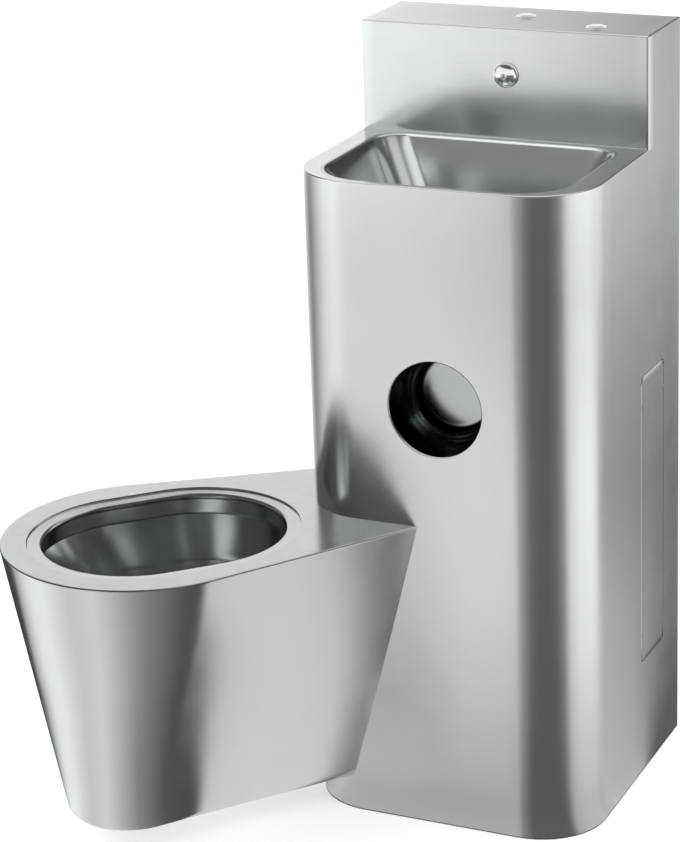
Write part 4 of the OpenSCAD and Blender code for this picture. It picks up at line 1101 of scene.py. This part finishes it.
class Tree:
    """A node tree and short ways to add to it. An input takes a number, a colour or a socket,
    and each sum gives back a socket."""

    def __init__(self, tree):
        self.nodes, self.links = tree.nodes, tree.links

    def feed(self, node, inputs):
        """Sets or links a node's inputs, given by name or number."""
        for key, value in inputs.items():
            if isinstance(value, bpy.types.NodeSocket):
                self.links.new(value, node.inputs[key])
            else:
                node.inputs[key].default_value = value

    def add(self, kind, output, inputs=(), **settings):
        """One output of a new node."""
        node = self.nodes.new("ShaderNode" + kind)
        for name, value in settings.items():
            setattr(node, name, value)
        self.feed(node, dict(inputs))
        return node.outputs[output]

    def maths(self, operation, *values, clamp=False):
        """A sum on numbers or sockets."""
        return self.add("Math", "Value", enumerate(values), operation=operation,
                        use_clamp=clamp)

    def product(self, *factors):
        """All factors multiplied."""
        return functools.reduce(functools.partial(self.maths, "MULTIPLY"), factors)

    def angle(self, across, ahead):
        """The direction of (across, ahead) in degrees from ahead."""
        return self.maths("DEGREES", self.maths("ARCTAN2", across, ahead))

    def reach(self, across, ahead):
        """The length of (across, ahead)."""
        square = self.maths("MULTIPLY_ADD", ahead, ahead, self.product(across, across))
        return self.maths("SQRT", square)

    def ranged(self, value, low, high, start=0.3, stop=0.7):
        """A value from start to stop spread over low to high."""
        return self.add("MapRange", "Result", {"Value": value, "From Min": start,
                                               "From Max": stop, "To Min": low, "To Max": high})

    def window(self, value, low, high, soft):
        """1 between low and high, 0 outside, with soft edges."""
        return self.product(self.ranged(value, 0.0, 1.0, low - soft, low + soft),
                            self.ranged(value, 1.0, 0.0, high - soft, high + soft))

    def curve(self, value, stops):
        """A level read off straight lines between (value, level) stops."""
        first, last = stops[0][0], stops[-1][0]
        ramp = self.nodes.new("ShaderNodeValToRGB")
        marks = ramp.color_ramp.elements
        for at, _ in stops[1:-1]:
            marks.new((at - first) / (last - first))
        for mark, (_, level) in zip(marks, stops):
            mark.color = (*[level / CURVE_TOP] * 3, 1)
        self.feed(ramp, {"Fac": self.ranged(value, 0.0, 1.0, first, last)})
        return self.product(ramp.outputs["Color"], CURVE_TOP)

    def noise(self, coords, scale, stretch, detail):
        """Noise on object coordinates, stretched by a scale for each axis."""
        place = self.add("Mapping", "Vector", {"Scale": stretch, "Vector": coords})
        return self.add("TexNoise", "Fac", {"Scale": scale, "Detail": detail, "Vector": place})

    def mixed(self, part, a, b):
        """Colour a passing into colour b."""
        return self.add("Mix", 2, {0: part, 6: a, 7: b}, data_type="RGBA")

    def bumped(self, height, distance, under=None):
        """A bump from a height, on top of another bump if one is given."""
        below = {"Normal": under} if under else {}
        return self.add("Bump", "Normal",
                        {"Strength": 1.0, "Distance": distance, "Height": height, **below})


def blank(name):
    """A new node material in place of the frame's plain one of that name, with its tree and
    its shader."""
    plain = bpy.data.materials.get(name)
    if plain is not None:
        bpy.data.materials.remove(plain)
    material = bpy.data.materials.new(name)
    material.use_nodes = True
    tree = Tree(material.node_tree)
    return material, tree, tree.nodes["Principled BSDF"]


def tinted(tone, factor, lift=0.0):
    """A colour made lighter or darker."""
    return (*[min(1.0, c * factor + lift) for c in tone], 1)


def metal(name, tone, roughness, spread, stretch, grain, sway):
    """Polished or brushed metal: stretched fine noise gives the brushing's bump and gloss, a
    middling noise its cloudy wiping marks, and a wide soft one the sheet's faint waves. Worn
    edges are found from the mesh's pointiness and shine a little more."""
    _, tree, shader = blank(name)
    coords = tree.add("TexCoord", "Object")
    fine = tree.noise(coords, 1.0, stretch, 3.0)
    cloud = tree.noise(coords, 22.0, (1, 1, 1), 4.0)
    wide = tree.noise(coords, 3.1, (1, 1, 0.7), 1.0)
    gloss = tree.maths("MULTIPLY_ADD", cloud, 0.5, tree.product(fine, 0.5))
    wear = tree.ranged(tree.add("NewGeometry", "Pointiness"), 0.0, 1.0, 0.52, 0.60)
    clean = tree.mixed(tree.ranged(cloud, 0.0, 1.0), tinted(tone, 0.985), tinted(tone, 1.015))
    waves = tree.bumped(wide, sway)
    tree.feed(shader, {"Base Color": tree.mixed(wear, clean, tinted(tone, 1.12)),
                       "Roughness": tree.ranged(gloss, roughness - spread, roughness + spread),
                       "Normal": tree.bumped(fine, grain, waves), "Metallic": 1.0})


def moulded(name, tone, roughness, scale, grain):
    """Moulded rubber or plastic: fine grain in its bump and gloss and a faint dusty bloom."""
    _, tree, shader = blank(name)
    coords = tree.add("TexCoord", "Object")
    fine = tree.noise(coords, scale, (1, 1, 1), 3.0)
    cloud = tree.noise(coords, 30.0, (1, 1, 1), 3.0)
    dust = tree.mixed(tree.ranged(cloud, 0.0, 1.0), tinted(tone, 1.0), tinted(tone, 1.5, 0.01))
    tree.feed(shader, {"Base Color": dust, "Normal": tree.bumped(fine, grain),
                       "Roughness": tree.ranged(fine, roughness - 0.1, roughness + 0.1)})


class WASHROOM_OT_finishes(bpy.types.Operator):
    """Makes the materials and gives every solid of the frame the one of its slot"""

    bl_idname = "washroom.finishes"
    bl_label = "Finishes"

    def execute(self, context):
        look = context.scene.washroom_finish
        metal("satin_steel", look.satin_colour, look.satin_roughness, 0.035,
              (60, 60, 1400), 0.000004, 0.0001)
        metal("inner_steel", look.inner_colour, look.bowl_roughness, 0.03,
              (500, 500, 500), 0.000003, 0.0001)
        metal("chrome_trim", look.chrome_colour, look.chrome_roughness, 0.02,
              (300, 300, 300), 0.000001, 0.0)
        metal("valve_brass", look.brass_colour, 0.3, 0.06, (200, 200, 900), 0.00001, 0.0)
        metal("spring_wire", (0.55, 0.55, 0.55), 0.25, 0.05, (300, 300, 900), 0.000004, 0.0)
        metal("steel_bar", (0.5, 0.51, 0.52), 0.42, 0.08, (90, 700, 90), 0.00001, 0.0004)
        moulded("black_rubber", look.rubber_colour, 0.6, 1500, 0.00003)
        moulded("air_hose", look.hose_colour, 0.45, 900, 0.00001)
        for part in frame["record"]["subparts"]:
            node = frame["nodes"].get(part["node"])
            if node is not None:
                node.data.materials.clear()
                node.data.materials.append(bpy.data.materials[part["material_slot"]])
        return {"FINISHED"}


# ---- Stage ----

class WASHROOM_OT_stage(bpy.types.Operator):
    """Puts in the floor, the light, the painted reflection cards and rooms, and the camera"""

    bl_idname = "washroom.stage"
    bl_label = "Stage"

    def execute(self, context):
        look = context.scene.washroom_stage
        self.floor(look)
        self.cards(look)
        self.rooms()
        self.world(context)
        self.lamps(context)
        self.camera(context, look)
        context.scene.view_settings.view_transform = "Standard"
        return {"FINISHED"}

    @staticmethod
    def prop(name, points, faces, material):
        """A mesh of the stage."""
        mesh = bpy.data.meshes.new(name)
        mesh.from_pydata(points, [], faces)
        mesh.materials.append(material)
        obj = bpy.data.objects.new(name, mesh)
        bpy.context.scene.collection.objects.link(obj)
        return obj

    def plate(self, name, size, level, material):
        """A square of floor that points up."""
        corners = [(-size, -size, level), (size, -size, level), (size, size, level),
                   (-size, size, level)]
        return self.prop(name, corners, [(0, 1, 2, 3)], material)

    def floor(self, look):
        """A matt white floor; seen by the camera it glows a little, so that it joins the white
        behind it and still takes the unit's shadow."""
        material, tree, shader = blank("floor")
        glow = tree.product(tree.add("LightPath", "Is Camera Ray"), look.floor_glow)
        tree.feed(shader, {"Base Color": (*look.floor_colour, 1.0), "Roughness": 0.9,
                           "Specular IOR Level": 0.0, "Emission Color": (1, 1, 1, 1),
                           "Emission Strength": glow})
        self.plate("floor", look.floor_size, 0.0, material)

    def cards(self, look):
        """What the steel sees of the floor, all painted reflection. A black card lies over it,
        a painted dark reflection, and on top of that three glowing cards, no lamps, that only
        add painted reflected light: for the pan, the roll holder and all the rest."""
        pan = self.lit("pan_lit", PAN_PIECES)
        cup = self.lit("cup_lit", [CUP_PIECE])
        rest = self.lit("rest_lit", (*PAN_PIECES, CUP_PIECE), "EXCLUDE")
        black, tree, shader = blank("card_black")
        tree.feed(shader, {"Base Color": (0, 0, 0, 1), "Specular IOR Level": 0.0})
        cards = (("card_black", black, None),
                 ("card_cabinet", self.card("card_cabinet", self.cabinet_light), rest),
                 ("card_pan", self.card("card_pan", self.pan_light), pan),
                 ("card_cup", self.card("card_cup", self.cup_light), cup))
        for k, (name, material, receivers) in enumerate(cards, 1):
            card = self.plate(name, look.floor_size, k * CARD_STEP, material)
            self.only_reflected(card, receivers)

    @staticmethod
    def lit(name, pieces, state="INCLUDE"):
        """A collection of the pieces that a card lights, or that it leaves out."""
        group = bpy.data.collections.new(name)
        for item in pieces:
            group.objects.link(bpy.data.objects[item])
        for entry in group.collection_objects:
            entry.light_linking.link_state = state
        return group

    @staticmethod
    def only_reflected(card, receivers):
        """Shows a card in reflections alone, and there to its receivers alone."""
        card.visible_camera = False
        card.visible_diffuse = False
        card.visible_transmission = False
        card.visible_shadow = False
        if receivers:
            card.light_linking.receiver_collection = receivers

    def rooms(self):
        """What the steel sees above the floor, all painted reflection: a wide glowing ball, no
        lamp, for each kind of piece, whose light goes by direction: a level, and over it soft
        boxes that are painted lighter or darker."""
        across = np.radians(np.arange(48) * 7.5)
        upward = np.radians(np.linspace(-90, 90, 25))[:, None]
        ball = np.stack([np.cos(upward) * np.cos(across), np.cos(upward) * np.sin(across),
                         np.sin(upward) + 0 * across], axis=-1)
        points, quads = grid(ball, closed=True)
        for reach, (name, (pieces, state, level, boxes)) in zip(ROOM_REACHES, ROOMS.items()):
            light = functools.partial(self.room_light, level, boxes)
            room = self.prop(name, (reach * points).tolist(), quads.tolist(),
                             self.card(name, light))
            self.only_reflected(room, self.lit(name + "_for", pieces, state))

    @staticmethod
    def room_light(level, boxes, tree, x, y, z):
        """Painted reflected light by direction: azimuth from the front to the right, and height.
        """
        turn = tree.angle(x, tree.product(y, -1.0))
        rise = tree.angle(z, tree.reach(x, y))
        room = level
        for box_level, turns, rises in boxes:
            box = tree.product(tree.window(turn, *turns), tree.window(rise, *rises))
            room = tree.maths("MULTIPLY_ADD", box, box_level - level, room)
        return room

    @staticmethod
    def card(name, light):
        """A see-through sheet, no lamp, that glows by its light function of x, y and z, as painted
        reflection.
        """
        material, tree, shader = blank(name)
        tree.nodes.remove(shader)
        split = tree.nodes.new("ShaderNodeSeparateXYZ")
        tree.feed(split, {"Vector": tree.add("TexCoord", "Object")})
        glow = tree.add("Emission", "Emission", {"Strength": light(tree, *split.outputs)})
        both = tree.add("AddShader", "Shader", {0: glow, 1: tree.add("BsdfTransparent", "BSDF")})
        tree.feed(tree.nodes["Material Output"], {"Surface": both})
        return material

    @staticmethod
    def cabinet_light(tree, x, y, _):
        """Painted reflected light for the cabinet: light by direction round the cabinet times
        light by distance from it, with a painted shade wedge taken out in front. To the left the
        direction is taken from the middle of the left corner, to the right from that of the right
        corner, and in front of the flat face between them it stays the same."""
        ahead = tree.maths("SUBTRACT", CORNER_MIDDLE[1], y)
        turn_left = tree.angle(tree.maths("ADD", x, CORNER_MIDDLE[0]), ahead)
        turn_right = tree.angle(tree.maths("SUBTRACT", x, CORNER_MIDDLE[0]), ahead)
        turn = tree.maths("MAXIMUM", turn_right, tree.maths("MINIMUM", turn_left, FLAT_TURN))
        reach = tree.reach(x, tree.maths("SUBTRACT", CABINET_MIDDLE, y))
        apart = tree.ranged(reach, 0.0, 1.0, *FAR_REACH)
        fall = tree.maths("SUBTRACT", tree.curve(turn, FAR_EDGE), 1.0)
        by_turn = tree.product(tree.curve(turn, CABINET_RING),
                               tree.maths("MULTIPLY_ADD", apart, fall, 1.0))
        front, side = tree.curve(reach, CABINET_REACH), tree.curve(reach, SIDE_REACH)
        pick = tree.ranged(turn, 0.0, 1.0, *SIDE_TURN)
        by_reach = tree.maths("MULTIPLY_ADD", pick, tree.maths("SUBTRACT", side, front), front)
        # Painted shade: a darker wedge in front, for the pan's shadow and reflection edge
        beside = tree.maths("MULTIPLY_ADD", y, -SHADE_SLOPE, x)
        shade = tree.product(tree.window(beside, *SHADE_ACROSS), tree.window(y, *SHADE_ALONG),
                             tree.window(turn_left, *SHADE_TURNS))
        shade = tree.maths("MULTIPLY_ADD", shade, -SHADE_DEPTH, 1.0)
        return tree.maths("MAXIMUM", tree.product(by_turn, by_reach, shade), CABINET_DIM)

    @staticmethod
    def cup_light(tree, x, y, _):
        """One painted patch of reflected light in front, to the left, seen in the roll holder's
        back.
        """
        ahead = tree.maths("SUBTRACT", CUP_MOUTH, y)
        return tree.product(tree.window(tree.angle(x, ahead), *CUP_TURNS),
                            tree.window(ahead, *CUP_REACH), CUP_LEVEL)

    @staticmethod
    def pan_light(tree, x, y, _):
        """Painted reflected light by direction round the pan's nose, with painted shade close in
        front of the cabinet.
        """
        ahead = tree.maths("SUBTRACT", NOSE_MIDDLE[1], y)
        aside = tree.maths("SUBTRACT", x, NOSE_MIDDLE[0])
        bend = tree.curve(tree.reach(aside, ahead), EDGE_BEND)
        turn = tree.maths("MULTIPLY_ADD", bend, -EDGE_DEGREES, tree.angle(aside, ahead))
        return tree.product(tree.curve(turn, PAN_RING), tree.curve(y, PAN_NEAR))

    @staticmethod
    def world(context):
        """Even white light and a white background. The steel sees the painted rooms instead."""
        world = bpy.data.worlds.new("studio")
        context.scene.world = world
        world.use_nodes = True
        tree = Tree(world.node_tree)
        path = tree.nodes.new("ShaderNodeLightPath").outputs
        seen = tree.maths("ADD", path["Is Camera Ray"], path["Is Transmission Ray"], clamp=True)
        plain = tree.ranged(seen, WORLD_LEVEL, 1.0, 0.0, 1.0)
        level = tree.add("Mix", "Result", {"Factor": path["Is Glossy Ray"], "A": plain, "B": 0.0})
        tree.feed(tree.nodes["Background"], {"Color": (1, 1, 1, 1), "Strength": level})

    @staticmethod
    def lamps(context):
        """Two large soft lamps above, left and right of the camera."""
        for name, place, power, side in (("lamp_left", (-2.2, -2.6, 2.8), 26.0, 2.0),
                                         ("lamp_right", (2.6, -1.4, 2.6), 20.0, 1.8)):
            data = bpy.data.lights.new(name, "AREA")
            data.energy = power
            data.shape = "SQUARE"
            data.size = side
            lamp = bpy.data.objects.new(name, data)
            lamp.location = place
            aim = Vector((0.0, -0.3, 0.4)) - lamp.location
            lamp.rotation_mode = "QUATERNION"
            lamp.rotation_quaternion = aim.to_track_quat("-Z", "Y")
            lamp.visible_glossy = False
            context.scene.collection.objects.link(lamp)

    @staticmethod
    def camera(context, look):
        """The camera of the photograph."""
        yaw, pitch, roll = look.camera_yaw, look.camera_pitch, look.camera_roll
        ahead = Vector((-math.sin(yaw) * math.cos(pitch), math.cos(yaw) * math.cos(pitch),
                        -math.sin(pitch)))
        right = Vector((math.cos(yaw), math.sin(yaw), 0.0))
        up = right.cross(ahead)
        side = math.cos(roll) * right + math.sin(roll) * up
        top = math.cos(roll) * up - math.sin(roll) * right
        data = bpy.data.cameras.new("camera")
        data.lens = look.lens
        data.sensor_width = 36.0
        data.shift_y = look.shift
        data.clip_end = 100.0
        camera = bpy.data.objects.new("camera", data)
        turn = Matrix((side, top, -ahead)).transposed().to_4x4()
        camera.matrix_world = Matrix.Translation(look.camera_place) @ turn
        context.scene.collection.objects.link(camera)
        context.scene.camera = camera


CURVE_TOP = 1.5
CARD_STEP = 0.001
WORLD_LEVEL = 0.95
CABINET_MIDDLE = -0.25
CORNER_MIDDLE = (0.13, -0.33)
FLAT_TURN = -24.5
SIDE_TURN = (126, 140)
NOSE_MIDDLE = (-0.348, -0.537)
PAN_PIECES = ("pan_wall", "pan_rim", "pan_bowl_shell", "flush_channel")
CUP_PIECE = "roll_cup"
CHROME_PIECES = ("spout_dome", "basin_button_cap", "flush_button_cap", "basin_button_ring",
                 "flush_button_ring")

# Painted reflected light for the cabinet by direction, in degrees from the front to the
# right; how much of it is left far off, by direction; and light by distance, in front and at
# the side
CABINET_RING = ((-180, 0.25), (-162, 0.35), (-155, 0.9), (-138, 1.1), (-118, 0.5), (-110, 0.28),
                (-102, 0.35), (-86, 0.7), (-68, 1.0), (-48, 1.1), (-36, 0.98), (-25, 0.93),
                (-20, 0.9), (-15, 0.5), (2, 0.2), (14, 0.13), (38, 0.12), (50, 0.17),
                (61, 0.3), (72, 0.85), (90, 1.05), (116, 1.1), (136, 0.9), (150, 0.78),
                (157, 0.74), (160, 0.68), (162.5, 0.28), (165, 0.14), (180, 0.12))
FAR_EDGE = ((-180, 1.0), (-22.6, 1.0), (-21.5, 0.8), (-20.5, 0.55), (-15, 0.85), (-5, 1.0),
            (180, 1.0))
FAR_REACH = (1.6, 2.9)
CABINET_REACH = ((0.0, 0.45), (0.2, 0.5), (0.4, 0.65), (0.8, 0.9), (1.4, 1.0), (2.2, 0.88),
                 (2.9, 0.8), (3.8, 1.2), (5.0, 1.28))
SIDE_REACH = ((0.0, 0.66), (0.35, 0.67), (0.7, 0.69), (1.27, 0.53), (2.0, 0.69), (2.8, 0.98),
              (3.6, 1.2), (5.0, 1.2))
CABINET_DIM = 0.115

# A painted shade wedge in front, for the pan's shadow and reflection edge in the cabinet's
# reflected floor: the slant of its left edge, its reach across, along and in degrees, each
# from, to and softness, and how much it takes away
SHADE_SLOPE = 0.47
SHADE_ACROSS = (-1.0, 0.203, 0.02)
SHADE_ALONG = (-1.6, -0.62, 0.1)
SHADE_TURNS = (-29, 90, 3)
SHADE_DEPTH = 0.32

# Painted reflected light for the pan by direction; how the directions bend with distance,
# and by how many degrees; and light by how near the cabinet it is, painted shade close to it
PAN_RING = ((-180, 0.9), (-120, 0.2), (-104, 0.15), (-96, 0.5), (-78, 0.95), (-60, 1.0),
            (-45, 0.8), (-33, 0.68), (-12, 0.78), (8, 0.5), (26, 0.27), (45, 0.17), (58, 0.10),
            (74.5, 0.06), (76.8, 0.1), (79.2, 0.74), (100, 0.76), (180, 0.9))
EDGE_BEND = ((0.17, 0.55), (0.2, 0.5), (0.23, 0.58), (0.26, 0.75), (0.29, 0.87), (0.31, 1.1),
             (0.34, 1.25), (0.38, 1.42), (0.41, 1.5), (0.43, 1.5), (0.45, 1.35), (0.47, 0.1),
             (0.6, 0.1))
EDGE_DEGREES = 3.0
PAN_NEAR = ((-0.50, 1.0), (-0.43, 0.95), (-0.405, 0.4), (-0.385, 0.2), (-0.30, 0.2))

# The roll holder's painted patch of reflected light, in degrees and metres, each from, to
# and softness
CUP_MOUTH = -0.385
CUP_TURNS = (-42, -14, 4)
CUP_REACH = (0.7, 4.0, 0.3)
CUP_LEVEL = 0.68

# The rooms in the steel, painted reflections: the pieces that each is or isn't for, its
# level, and boxes as level, directions and heights in degrees, each from, to and softness
ROOM_REACHES = (50.0, 54.0, 58.0, 62.0)
ALL_ROUND = (-200, 200, 1)
BEHIND = (-160, -123, 5)
ROOMS = {
    "room_sheet": ((*PAN_PIECES, CUP_PIECE, *CHROME_PIECES, "basin"), "EXCLUDE", 0.17, (
        (1.0, BEHIND, (-10, 26, 3)), (0.72, (-70, -14, 4), (28, 40, 2.5)),
        (0.02, (-19.3, 30, 0.6), (3, 20, 2)), (0.95, (-70, -19.7, 0.5), (7, 18, 2)),
        (1.0, ALL_ROUND, (44, 100, 4)))),
    "room_basin": (("basin",), "INCLUDE", 0.17, (
        (1.0, BEHIND, (-10, 26, 3)), (0.28, (-60, -12, 3), (4, 20, 3)),
        (1.1, (-80, -14, 3), (24, 75, 4)),
        (1.05, (-12, 34, 3), (15, 31, 2)), (0.8, (40, 82, 8), (26, 40, 3)),
        (0.8, ALL_ROUND, (62, 100, 5)))),
    "room_pan": (PAN_PIECES, "INCLUDE", 0.08, (
        (0.85, (-162, -127, 3), (-10, 29, 3)), (0.12, (-127, -70, 8), (8, 32, 5)),
        (0.9, (-200, -157, 5), (40, 80, 5)), (0.9, (140, 200, 14), (40, 80, 5)),
        (1.0, (-17, -8, 2), (14, 28, 3)))),
    "room_chrome": (CHROME_PIECES, "INCLUDE", 0.12, (
        (1.0, ALL_ROUND, (-8, 40, 6)), (0.1, (-40, 50, 10), (-4, 90, 4)))),
}


# ---- Add-on ----

class WASHROOM_PT_panel(bpy.types.Panel):
    """Lists the steps that make the unit"""

    bl_idname = "WASHROOM_PT_panel"
    bl_label = "Washroom unit"
    bl_space_type = "VIEW_3D"
    bl_region_type = "UI"
    bl_category = "Washroom"

    def draw(self, context):
        for step in STEPS:
            self.layout.operator(step.bl_idname)


SETTINGS = {"washroom_finish": WashroomFinish, "washroom_cabinet": WashroomCabinet,
            "washroom_basin": WashroomBasin, "washroom_pan": WashroomPan,
            "washroom_stage": WashroomStage}
STEPS = (WASHROOM_OT_finishes, WASHROOM_OT_cabinet, WASHROOM_OT_deck, WASHROOM_OT_basin,
         WASHROOM_OT_splashback, WASHROOM_OT_roll_holder, WASHROOM_OT_hatch, WASHROOM_OT_spout,
         WASHROOM_OT_buttons, WASHROOM_OT_drain, WASHROOM_OT_pan_skirt, WASHROOM_OT_pan_top,
         WASHROOM_OT_flush_channel, WASHROOM_OT_pan_bowl, WASHROOM_OT_stage)


def register():
    """Registers the settings, the steps and the panel."""
    for item in (*SETTINGS.values(), *STEPS, WASHROOM_PT_panel):
        bpy.utils.register_class(item)
    for name, group in SETTINGS.items():
        setattr(bpy.types.Scene, name, PointerProperty(type=group))


def unregister():
    """Takes them all out again."""
    for name in SETTINGS:
        delattr(bpy.types.Scene, name)
    for item in reversed((*SETTINGS.values(), *STEPS, WASHROOM_PT_panel)):
        bpy.utils.unregister_class(item)


def main():
    """Makes the unit step by step."""
    register()
    for step in STEPS:
        group, name = step.bl_idname.split(".")
        getattr(getattr(bpy.ops, group), name)()


if __name__ == "__main__":
    main()
